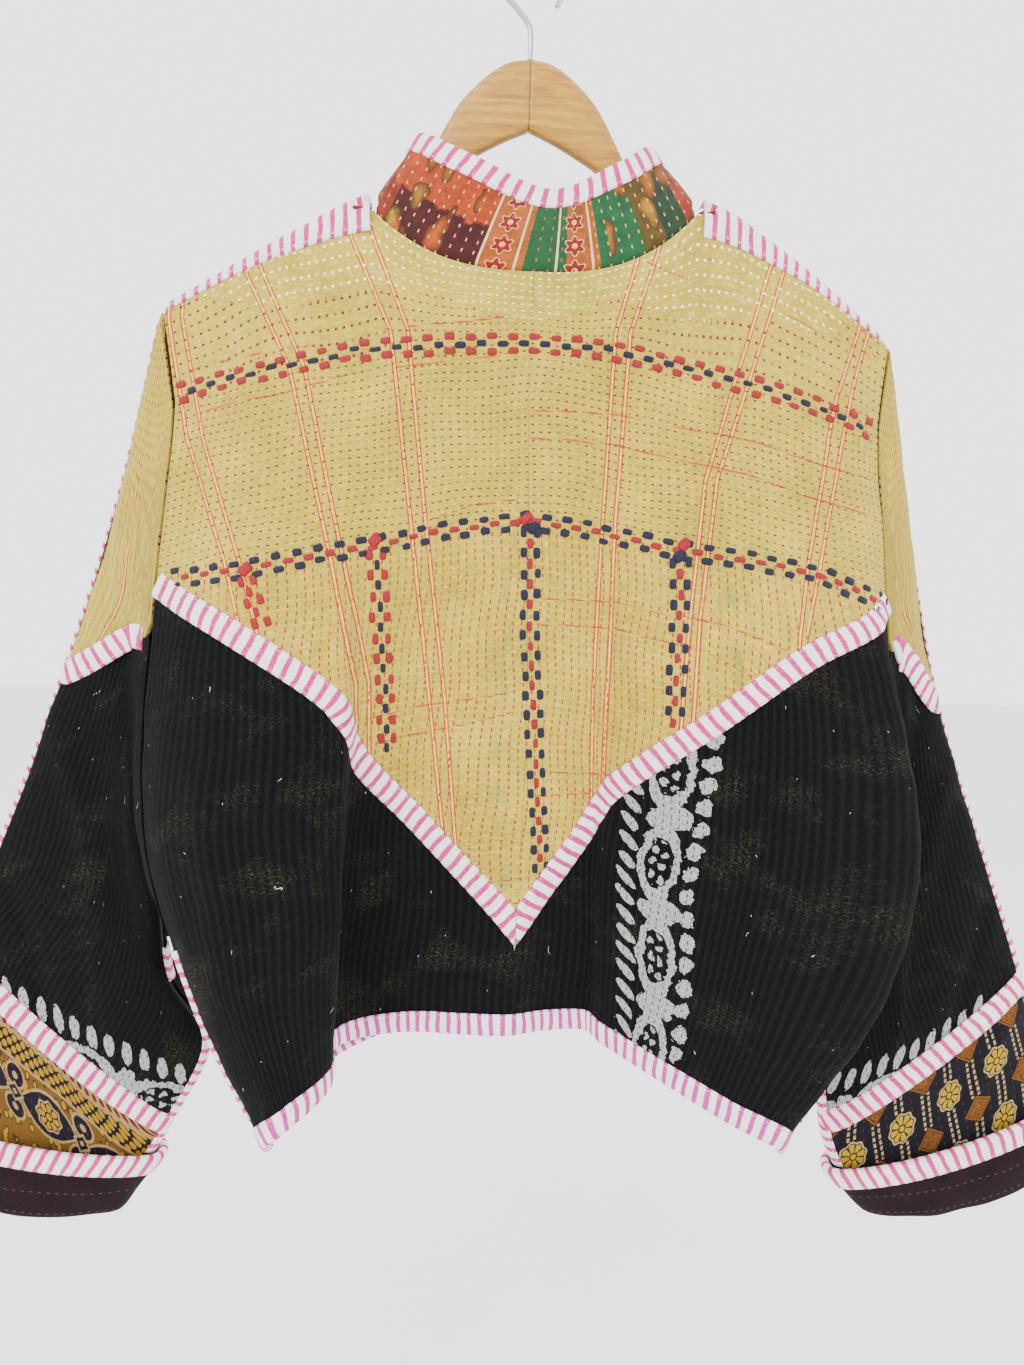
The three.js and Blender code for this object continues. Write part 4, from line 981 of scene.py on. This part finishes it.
# Silk-like brocade, machine woven: an ochre ground with navy medallions and gold rosettes.
def rosette(base, u, v, reach, rim, gold, dark):
    """Draws an eight-petalled flower round the place where u and v are 0."""
    far = distance(u, v)
    wave = cosine(times(arctan2(u, v), 8.0))
    edge = times_plus(wave, -0.6, far)
    base = paint(base, below(edge, reach), rim)
    base = paint(base, below(edge, reach - 1.2), dark)
    petals = times(below(edge, reach - 1.9), beyond(wave, -0.72))
    base = paint(base, petals, gold)
    base = paint(base, close_to(far, 2.3, 0.45), dark)
    return paint(base, below(far, 1.8), gold)


def brocade(name, ground, figure, gold, left):
    made = start_material(name)
    place = kept("stitch")
    sx, sy, _ = split(place)
    repeat = lambda value, start, period: plus(remainder(plus(value, start), period), -period / 2)
    far_from = lambda a, b, x, y: distance(plus(a, -x), plus(b, -y))
    rim = "9c8250"
    if left:
        # A chain of almond-shaped medallions with scrolls, sprigs round it; a strip of scales above.
        u = repeat(sx, 200.0, 45.0)
        v = plus(sy, -45.0)
        twigs = cells_of(stretch(place, (1, 0.62, 1)), 0.21)
        base = paint(colour(ground), close_to(twigs, 0.36, 0.07), "3c2c08")
        base = paint(base, below(twigs, 0.32), gold)
        scroll = far_from(size_of(u), size_of(v), 22.5, 9.5)
        for most, text in ((7.2, rim), (5.8, figure), (2.0, rim)):
            base = paint(base, below(scroll, most), text)
        bow = plus(times(times(u, u), 0.034), size_of(v))
        base = paint(base, below(bow, 13.2), rim)
        base = paint(base, below(bow, 11.4), figure)
        base = rosette(base, u, v, 8.4, rim, gold, figure)
        link = plus(size_of(plus(size_of(u), -22.5)), size_of(v))
        for most, text in ((6.2, rim), (4.4, figure), (1.8, rim)):
            base = paint(base, below(link, most), text)
        # The scales, on navy, between dark lines, and a strip of small red flowers at the seam.
        strip = close_to(sy, 20.0, 6.5)
        base = paint(base, close_to(sy, 20.0, 8.0), rim)
        base = paint(base, strip, figure)
        half_x, half_y = bounce(sx, 3.6), bounce(sy, 3.2)
        scales = either(below(distance(half_x, half_y), 2.0), below(far_from(half_x, half_y, 3.6, 3.2), 2.0))
        base = paint(base, times(strip, scales), gold)
        small = distance(bounce(sx, 3.0), plus(sy, -9.4))
        base = paint(base, below(sy, 12.0), rim)
        base = paint(base, below(small, 1.9), "5c1006")
    else:
        # Columns of rosettes and of lozenges in turn, strung on double dashed lines.
        base = colour(ground)
        broken = below(bounce(sy, 2.0), 1.3)
        u, v = repeat(sx, 200.0, 37.0), repeat(sy, 210.0, 44.0)
        a, b = repeat(sx, 218.5, 37.0), repeat(sy, 232.0, 44.0)
        for aside, lengthways, gap in ((u, v, 10.5), (a, b, 9.6)):
            line = times(close_to(size_of(aside), 2.3, 0.9), beyond(size_of(lengthways), gap))
            base = paint(base, times(line, broken), "a8966a")
        base = rosette(base, u, v, 9.6, "a89668", gold, ground)
        away = plus(size_of(a), size_of(b))
        speckle = cells_of(place, 0.6)
        base = paint(base, below(away, 10.0), figure)
        base = paint(base, times(below(away, 8.6), close_to(speckle, 0.5, 0.08)), "2c1a06")
        base = paint(base, close_to(away, 8.4, 0.35), "2c1a06")
    fine = bands(place, "Y", 0.55, 1.5, 2.0)
    grain = noise(place, 0.7, 3.0, 0.7)
    base = paint(base, span(grain, 0.45, 0.75, 0.0, 0.2), "14100a")
    stitch = dashes(sx, sy, 3.1, 0.38, 3.1, 1.2)
    base = paint(base, times(stitch, 0.6), "6c1014")
    end_material(base, fine, 0.0003, Roughness=0.75, Sheen_Weight=0.015, Sheen_Roughness=0.4,
                 Specular_IOR_Level=0.15)
    return made


brocades = {
    "left": brocade("silk-like brocade, ochre and navy", "6a4a10", "020617", "a47e08", True),
    "right": brocade("silk-like brocade, navy and gold", "01050f", "7a4a0a", "b08e0e", False),
}
SLEEVE_CREASES = [
    (-262, -330, -236, -520, 8, -2.4), (-300, -430, -262, -600, 9, 2.4), (-330, -560, -290, -700, 8, -2.2),
    (-244, -480, -236, -640, 7, 2.0), (-352, -600, -320, -740, 8, 1.9), (268, -340, 262, -560, 8, -2.4),
    (300, -440, 272, -620, 9, 2.2), (334, -570, 296, -700, 8, -2.4), (356, -640, 320, -760, 8, 1.8),
    (264, -560, 270, -700, 7, 1.8)]
sleeve_pieces = {}
for half, sign in SIGNS.items():
    for face in ("back", "front"):
        turn_of = (lambda t: t) if face == "back" else (lambda t: 2 * np.pi - t)
        upper = even_turns(half, 0.2, 0.015, np.pi / 2 - 0.03, 61)
        middle = even_turns(half, 0.5, 0.015, np.pi - 0.035, 101)
        band = even_turns(half, 0.9, 0.015, np.pi - 0.035, 89)
        parts = [
            ("upper", upper, 0.004, seam_one(upper) - 0.0025, 81, olive, "olive_kantha"),
            ("middle", middle, np.maximum(seam_one(middle), 0.004) + 0.0025, 0.7975, 105, black,
             "black_kantha"),
            ("band", band, 0.8025, 0.94, 49, brocades[half], "brocade_print")]
        for part, turns, first, last, rows, material, slot in parts:
            along = mix(first + 0 * turns, last + 0 * turns, np.linspace(0, 1, rows)[:, None])
            turn = np.broadcast_to(turns[None], along.shape)
            points = sleeve(half, along, turn_of(turn))
            normals = normals_of(points, (0, -1 if face == "back" else 1, 0))
            sx = np.c_[np.zeros(rows), np.cumsum(np.linalg.norm(np.diff(points, axis=1), axis=-1), 1)]
            steps = np.linalg.norm(np.diff(points, axis=0), axis=-1)
            sy = np.vstack([np.zeros(len(turns)), np.cumsum(steps, 0)])
            up_mm = sy[-1:] - sy
            pitch = {"upper": 5, "middle": 4.5, "band": 6.2}[part]
            wx = sx + 1.4 * wander(sx, sy, 31 + sign, 80)
            wy = sy + 1.4 * wander(sx, sy, 33 + sign, 90)
            rise = 0.4 * humps(wx, pitch) ** 0.8 + 0.12 * humps(wy, pitch)
            if part == "upper":
                rise = quilting(wx, wy, 0)
            rise = rise + creases(points, SLEEVE_CREASES) * (1 if face == "back" else -0.8)
            rise = rise + 0.6 * wander(points[..., 0], points[..., 2], 35, 55)
            edge_far = np.minimum(sx, sx[:, -1:] - sx)
            rise = rise * ease(edge_far / 9) * ease(sy / 10 + 0.001) * ease(up_mm / 10 + 0.001)
            points = points + normals * rise[..., None]
            fields = {"stitch": on_cloth(wx, wy)}
            if part == "upper":
                warp = np.where(np.abs(sx - 74) < 3.4, sx + 26, 25.0)
                warp = np.where(np.abs(sx - 28) < 3.4, sx + 22, warp)
                weft = np.minimum(np.abs(sy - 66), np.abs(sy - 128))
                fields["lines"] = np.stack([warp, weft, 0.3 + 0 * sx], -1)
            if part == "middle":
                # The printed strip runs along the lower seam and rises toward the underarm.
                share = sx / sx[:, -1:]
                rising = ([0.25, 1], [4, 40]) if half == "left" else ([0.3, 1], [6, 26])
                strip = 0.15 + (np.interp(share, *rising) - up_mm) / 60
                fields["strip"] = on_cloth(np.where((face == "back") & (share > 0.2), strip, -9), sx)
            name = f"sleeve_{half}_{part}_{face}"
            made = add_cloth(name.replace("sleeve", "arm"), points, normals, material, fields)
            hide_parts(name)
            sleeve_pieces[half, part, face] = made


# ---- Cuffs ----
# The end of each sleeve, lined with dark maroon cotton, is turned up outside over the band, so
# that the lining shows; its bound free edge stands a little away from the sleeve.
maroon = start_material("dark maroon plain-woven cotton")
place = kept("stitch")
# Threads of about 0.5 mm, drawn at 1.4 mm, which is what shows.
weave_x = bands(place, "X", 0.35, 1.0, 1.0)
weave_y = bands(place, "Y", 0.35, 1.0, 1.0)
fibre = noise(place, 0.6, 4.0, 0.7)
faded = noise(place, 0.05, 3.0)
base = blend(span(faded, 0.35, 0.65), "0c0104", "190209")
base = paint(base, span(fibre, 0.5, 0.8, 0.0, 0.4), "300a18")
sx, sy, _ = split(place)
dash = dashes(sx, sy, 3.0, 1.1, 8.0, 0.35)
base = paint(base, times(dash, 0.35), "8a5a66")
end_material(base, plus(plus(weave_x, weave_y), fibre), 0.0003,
             Roughness=0.9, Sheen_Weight=0.02, Specular_IOR_Level=0.12)
CUFF_WAY = [0, 0.2, 0.38, 0.5, 0.62, 0.8, 1]
CUFF_ALONG = [0.945, 0.975, 0.996, 1.004, 0.996, 0.955, 0.905]
CUFF_OUT = [0, 0.2, 0.8, 3.4, 6, 7.2, 8.5]
cuff_grid = {}
for half, sign in SIGNS.items():
    turns = even_turns(half, 0.95, 0, 2 * np.pi, 177)[:-1]
    way = np.linspace(0, 1, 49)
    along, turn = np.meshgrid(curve(CUFF_WAY, CUFF_ALONG, way), turns)
    step = 0.02
    tube_along = sleeve(half, along + step, turn) - sleeve(half, along - step, turn)
    tube_turn = sleeve(half, along, turn + step) - sleeve(half, along, turn - step)
    tube_normal = unit(np.cross(tube_along, tube_turn) * -sign)
    points = sleeve(half, along, turn) + tube_normal * curve(CUFF_WAY, CUFF_OUT, way)[None, :, None]
    outward = np.where((way < 0.5)[None, :, None], -tube_normal, tube_normal)
    normals = normals_of(points, outward, loop=True)
    if (normals[:, -8:] * tube_normal[:, -8:]).sum() < 0:
        normals = -normals
    sx, sy = np.broadcast_arrays(run_of(points[:, -1])[:, None], run_of(points.mean(0))[None])
    rise = 0.7 * wander(points[..., 0], points[..., 2], 41, 40) * ease((1 - way) / 0.2) * ease(way / 0.2)
    points = points + normals * rise[..., None]
    cuff_grid[half] = (points, normals)
    fields = {"stitch": on_cloth(sx, sy)}
    add_cloth(f"turned_cuff_{half}", points, normals, maroon, fields, True)
    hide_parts(f"cuff_{half}")


# ---- Bindings ----
# Strips of white cotton with pink stripes, folded over every edge and laid over the main seams,
# with a machine stitch near each side.
# Poplin, white with printed stripes: crisp and a little brighter than the old cotton.
def striped(name, stripe, pitch, width):
    made = start_material(name)
    place = kept("tape")
    along, across, from_edge = split(place)
    drift = noise(place, 0.05, 2.0)
    at = plus(times_plus(drift, 4.0, along), times(across, 0.12))
    near = bounce(at, pitch / 2)
    mask = span(near, width / 2 - 0.25, width / 2 + 0.25, 1.0, 0.0)
    weave = noise(stretch(place, (0.4, 1, 1)), 1.1, 3.0, 0.6)
    white = blend(span(weave, 0.35, 0.7), "f0ecf0", "d2cad2")
    pink = paint(colour(stripe), span(weave, 0.35, 0.7), "d0388c")
    base = node("MixRGB", mask, white, pink)
    seam = close_to(from_edge, 1.5, 0.35)
    dash = below(bounce(along, 1.3), 0.85)
    sewn = times(seam, dash)
    base = paint(base, times(sewn, 0.5), "c9bec8")
    end_material(base, weave, 0.00025, Roughness=0.8, Sheen_Weight=0.08, Specular_IOR_Level=0.3)
    return made


pink_stripe = striped("white poplin with pink stripes", "a80450", 8.5, 3.3)
orchid_stripe = striped("white poplin with orchid stripes", "982088", 7.2, 3.0)
FOLDED = 12.5  # How far a folded binding reaches over each face of its cloth.
SEAM_TAPE = 15


def add_tape(name, outer, inner, across, material, loop=False):
    """A tape from its outer and inner grids, along by across; it stands for the same solid."""
    middle = outer[:, outer.shape[1] // 2]
    along = run_of(middle)
    edge = np.minimum(across - across[0], across[-1] - across)
    field = np.stack(np.broadcast_arrays(along[:, None], across[None], edge[None]), -1)
    outer = outer + 0.12 * np.sin(along * 2.2)[:, None, None] * np.array([0, 0, 1.0])
    made = add_wall(name + "_tape", outer, inner, material, {"tape": field}, loop)
    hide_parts(name)
    return made


def fold_over(name, points, normals, away, width, material=pink_stripe, loop=False):
    """A tape folded round an edge, from one face of the cloth to the other."""
    inside, thick, bend = WALL / 2 + 0.35, 1.0, 5.5
    t = np.linspace(-1, 1, 17)
    across = t * (width + 4)
    far = np.abs(across)
    turn = np.clip(far / bend, 0, 1) * np.pi / 2
    lift = np.sign(t) * np.sin(turn) ** 0.75
    reach = np.where(far < bend, 1.6 * np.cos(turn) ** 0.9, -(far - bend) * width / (width - 1.5))
    puff = 1 + 0.22 * np.cos(np.clip((np.abs(t) - 0.55) / 0.45, -1, 1) * np.pi / 2)
    sweep = lambda rise, out: np.stack([points + normals * n + away * d for n, d in zip(rise, out)], 1)
    outer = sweep(lift * (inside + thick) * puff, reach + np.where(far < bend, thick, 0) * np.cos(turn))
    inner = sweep(lift * inside, reach)
    return add_tape(name, outer, inner, across, material, loop)


def edge_of(grid, take=np.s_[:, -1], inside=np.s_[:, -4]):
    """The points of a panel's edge, with their normals and the direction away from the cloth."""
    points, normals = grid
    edge, near = points[take], points[inside]
    away = edge - near
    normal = normals[take]
    away -= normal * (away * normal).sum(-1, keepdims=True)
    return edge, normal, unit(away)


def lay_over(name, surface, u, v, width, outward, clamp, rise):
    """A flat tape over a seam that runs through (u, v) of a surface."""
    seam = surface(u, v)
    tangent = unit(np.gradient(seam, axis=0))
    offsets = np.linspace(-width / 2, width / 2, 13)
    step = 2e-3

    def frame_at(u, v):
        pu = (surface(u + step, v) - surface(u - step, v)) / (2 * step)
        pv = (surface(u, v + step) - surface(u, v - step)) / (2 * step)
        normal = unit(np.cross(pu, pv))
        return pu, pv, normal if (normal * outward).sum() > 0 else -normal

    pu, pv, normal = frame_at(u, v)
    side = np.cross(normal, tangent)
    outer, inner = [], []
    for offset in offsets:
        a, b, c = (pu * pu).sum(-1), (pu * pv).sum(-1), (pv * pv).sum(-1)
        d, e = offset * (side * pu).sum(-1), offset * (side * pv).sum(-1)
        det = a * c - b * b
        uu, vv = u + (d * c - e * b) / det, v + (a * e - b * d) / det
        if clamp:
            uu, vv = clamp(uu, vv)
        place, up = surface(uu, vv), frame_at(uu, vv)[2]
        swell = 1 - np.abs(2 * offset / width) ** 4
        outer.append(place + up * (WALL / 2 + rise + 0.35 + 1.15 * swell))
        inner.append(place + up * (WALL / 2 + rise - 0.25))
    return add_tape(name, np.stack(outer, 1), np.stack(inner, 1), offsets, pink_stripe)


def bridge(name, rails, rise=0.4):
    """A tape over a seam between two cloths: rails are (points, normals) lines across the tape."""
    count = len(rails)
    spread = np.linspace(-1, 1, count)
    swell = 1 - np.abs(spread) ** 4
    outer = np.stack([p + n * (WALL / 2 + rise + 0.3 + 1.1 * swell[k]) for k, (p, n) in enumerate(rails)], 1)
    inner = np.stack([p + n * (WALL / 2 + rise - 0.3) for p, n in rails], 1)
    return add_tape(name, outer, inner, spread * SEAM_TAPE / 2, pink_stripe)


for half, sign in SIGNS.items():
    # The V's arms meet in a mitre on the middle line.
    u = np.linspace(sign * 0.995, VEE_TIP - sign * 0.0275, 220)
    v = vee_down(u, sign) + 0.0018
    most = np.minimum if sign < 0 else np.maximum
    stop = lambda uu, vv: (most(uu, VEE_TIP + sign * 0.0008), vv)
    lay_over(f"binding_vee_{half}", back, u, v, 15.5, (0, -1, 0), stop, 0.75)

    grid = front_grid[half]
    fold_over(f"binding_hem_front_{half}", *edge_of(grid), FOLDED, orchid_stripe)
    fold_over(f"binding_front_{half}", *edge_of(grid, np.s_[0, 3:-7], np.s_[3, 3:-7]), FOLDED)

    # Shoulder: over the seam between the yoke and the front.
    reach = np.linspace(0.464 if sign > 0 else 0.436, 0.985, 110) * sign
    rails = []
    step = 1e-3
    for surface, outward, places in ((back, (0, -1, 1), np.linspace(0.0165, 0.0012, 6)),
                                     (front, (0, 1, 1), np.linspace(0.003, 0.0125, 5))):
        for down in places:
            tangent = surface(reach + step, down) - surface(reach - step, down)
            first = down - step if down > 0.0025 else down
            across_way = surface(reach, first + 2 * step) - surface(reach, first)
            normal = unit(np.cross(tangent, across_way))
            normal = normal * np.sign((normal * np.array(outward)).sum(-1, keepdims=True))
            rails.append((surface(reach, down), normal))
    by_neck = 1 - ease((np.abs(reach) - 0.44) / 0.05)
    bridge(f"binding_shoulder_{half}", rails, (0.6 + 1.5 * by_neck)[:, None])

    # Side seam, from the armhole's end to the hem.
    down = np.linspace(0.765, 0.965, 60)
    rails = []
    for surface, outward, places in ((back, (0, -1, 0), np.linspace(0.969, 0.9976, 5)),
                                     (front, (0, 1, 0), np.linspace(0.99, 0.962, 5))):
        for share in places:
            tangent = surface(share * sign, down + step) - surface(share * sign, down - step)
            side_way = surface((share + step) * sign, down) - surface((share - step) * sign, down)
            normal = unit(np.cross(tangent, side_way))
            rails.append((surface(share * sign, down), normal * np.sign((normal * np.array(outward)).sum())))
    bridge(f"binding_side_{half}", rails)

    # Sleeve seams.
    tube = lambda along, turn, half=half: sleeve(half, along, turn)
    for face in ("back", "front"):
        outward = (0, -1 if face == "back" else 1, 0)
        flip = (lambda t: t) if face == "back" else (lambda t: 2 * np.pi - t)
        turns = flip(even_turns(half, 0.3, 0.14, np.pi / 2 - 0.05, 150))
        along = seam_one(flip(turns))
        keep = lambda uu, vv: (np.maximum(uu, 0.004), vv)
        lay_over(f"binding_{half}_one_{face}", tube, along, turns, SEAM_TAPE, outward, keep, 0.45)
        turns = flip(even_turns(half, 0.8, 0.12, np.pi - 0.1, 170))
        lay_over(f"binding_{half}_two_{face}", tube, 0.8 + 0 * turns, turns, SEAM_TAPE, outward, None, 0.45)
    for name, centre, first, last, count in (("overarm", 0.0, 0.01, 0.938, 240),
                                             ("underarm", np.pi, 0.33, 0.905, 110)):
        along = np.linspace(first, last, count)
        rails = []
        fine = np.linspace(-0.6, 0.6, 241)
        cross = sleeve(half, along[:, None], centre + fine[None])
        gaps = np.c_[np.zeros(count), np.cumsum(np.linalg.norm(np.diff(cross, axis=1), axis=-1), 1)]
        gaps -= gaps[:, len(fine) // 2, None]
        core_line = (sleeve(half, along, np.pi / 2) + sleeve(half, along, 1.5 * np.pi)) / 2
        for offset in np.linspace(-7, 7, 13):
            turn = centre + np.array([np.interp(offset, gaps[k], fine) for k in range(count)])
            place = sleeve(half, along, turn)
            around = sleeve(half, along, turn + 0.02) - sleeve(half, along, turn - 0.02)
            length = sleeve(half, along + 0.004, turn) - sleeve(half, along - 0.004, turn)
            normal = unit(np.cross(length, around))
            normal = normal * np.sign((normal * (place - core_line)).sum(-1, keepdims=True))
            rails.append((place, normal))
        bridge(f"binding_{half}_{name}", rails, 0.55)
    fold_over(f"binding_{half}_cuff", *edge_of(cuff_grid[half]), FOLDED, loop=True)

fold_over("binding_hem_back", *edge_of(lower_grid), FOLDED, orchid_stripe)
fold_over("binding_collar", *edge_of(collar_grid), 11.5)


# ---- Hanger ----
# Two shaped arms of pale hardwood that meet in an upright ridge in the middle, sanded round and
# varnished, with a steel wire hook screwed in where they meet.
wood = start_material("varnished hardwood")
place = stretch(node("TexCoord", out=3), (1000, 1000, 1000))
grain = noise(stretch(place, (0.12, 0.8, 1)), 0.35, 5.0, 0.6)
growth = bands(stretch(place, (0.35, 1, 1)), "Z", 0.05, 5.0, 3.0)
base = blend(span(grain, 0.3, 0.7), "8e5a00", "bc8c00")
base = paint(base, times(growth, 0.3), "784600")
# Painted shade: where the surface faces down, on the underside of the arms, the wood is darkened to a deep
# brown.
under = span(split(node("NewGeometry", out=1))[2], -0.75, -0.95, 0.0, 0.85)
base = paint(base, under, "5a2f14")
end_material(base, grain, 0.0002, Roughness=0.45, Coat_Weight=0.1, Coat_Roughness=0.3)
# At some reaches from the middle: the top (over the wood's middle, then over the ridge), the
# height, the depth and the place in y.
ARM = [(0, 0, 41, 13, -3), (14, -3, 44, 13, -3), (28, -12, 42, 12.5, -2), (42, -26, 36, 12, -1),
       (54, -46, 28, 10.5, -0.5), (70, -74, 24, 10, -0.5), (92, -11, 23, 11, 0), (115, -5, 23, 10.5, 0),
       (150, -4, 22, 10, 0), (190, -4, 20, 9.5, 0), (213, -4.5, 14, 8, 0)]
ARM_SIDES = 28
for half, sign in SIGNS.items():
    reach = np.array([row[0] for row in ARM], float)
    tops = [(WOOD_TOP if row[0] < 90 else ridge_height(sign * row[0])) + row[1] for row in ARM]
    at = np.r_[0.15, np.linspace(2, 211, 78), 212.4, 213]
    top = curve(reach, tops, at)
    tall, deep, bend = (curve(reach, [row[k] for row in ARM], at) for k in (2, 3, 4))
    tall[-1], deep[-1] = tall[-1] * 0.8, deep[-1] * 0.7
    angle = np.linspace(0, 2 * np.pi, ARM_SIDES, endpoint=False)
    rounded = lambda t: np.sign(t) * np.abs(t) ** 0.62
    rings = np.stack([np.broadcast_to(sign * at[:, None], (len(at), ARM_SIDES)),
                      bend[:, None] + deep[:, None] / 2 * rounded(np.cos(angle)),
                      top[:, None] + tall[:, None] / 2 * (rounded(np.sin(angle)) - 1)], -1)
    ids = np.arange(len(at) * ARM_SIDES).reshape(len(at), ARM_SIDES)
    faces = quads_of(np.c_[ids, ids[:, :1]])
    ends = [ids[0].tolist(), ids[-1, ::-1].tolist()]
    faces = faces.tolist() if sign < 0 else faces[:, ::-1].tolist()
    ends = ends if sign < 0 else [e[::-1] for e in ends]
    smooth = np.r_[np.ones(len(faces), bool), [False, False]]
    arm = add_piece(f"wooden_arm_{half}", rings.reshape(-1, 3), faces + ends, wood, None, smooth)
    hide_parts(f"hanger_arm_{half}")

# Steel wire, drawn and zinc-plated: cool grey, fine lines along the wire.
steel = start_material("zinc-plated steel wire")
drawn = noise(stretch(node("TexCoord", out=3), (900, 900, 120)), 1.0, 3.0)
base = blend(drawn, "8d959d", "b9c0c6")
end_material(base, drawn, 0.00005, Metallic=1.0, Roughness=0.28)
WIRE = 1.7
HOOK_SIDES = 16
radius = 18 + WIRE
turns = np.linspace(math.pi * 1.08, -math.pi * 0.22, 13)
bend = [(radius * math.cos(turn), radius * math.sin(turn) - 18) for turn in turns]
knots = np.array([(0, -62.3), (0, -50), (-1.5, -42), (-9, -33), *bend])
away = np.r_[0, np.cumsum(np.linalg.norm(np.diff(knots, axis=0), axis=-1) ** 0.5)]
at = np.linspace(0, away[-1], 150)
path = np.stack([curve(away, knots[:, 0], at), np.full(150, -3.0), curve(away, knots[:, 1], at)], -1)
tangent = unit(np.gradient(path, axis=0))
side = np.cross(tangent, (0, 1, 0))
angle = np.linspace(0, 2 * np.pi, HOOK_SIDES, endpoint=False)
cos, sin = np.cos(angle)[None, :, None], np.sin(angle)[None, :, None]
rings = path[:, None] + WIRE * (cos * side[:, None] + sin * np.array([0, 1.0, 0]))
rings = np.concatenate([rings, (rings[-1:] - path[-1]) * 0.6 + path[-1] + tangent[-1] * 0.9])
ids = np.arange(len(rings) * HOOK_SIDES).reshape(len(rings), HOOK_SIDES)
faces = quads_of(np.c_[ids, ids[:, :1]]).tolist()
ends = [ids[0].tolist(), ids[-1, ::-1].tolist()]
hook = add_piece("wire_hook", rings.reshape(-1, 3), faces + ends, steel)
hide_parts("hanger_hook")


# ---- Cut sizes ----
# Each cloth with the size it was cut to, in metres, and the bindings that are sewn to it.
for half in SIGNS:
    for (side_, part, face), made in sleeve_pieces.items():
        if side_ != half:
            continue
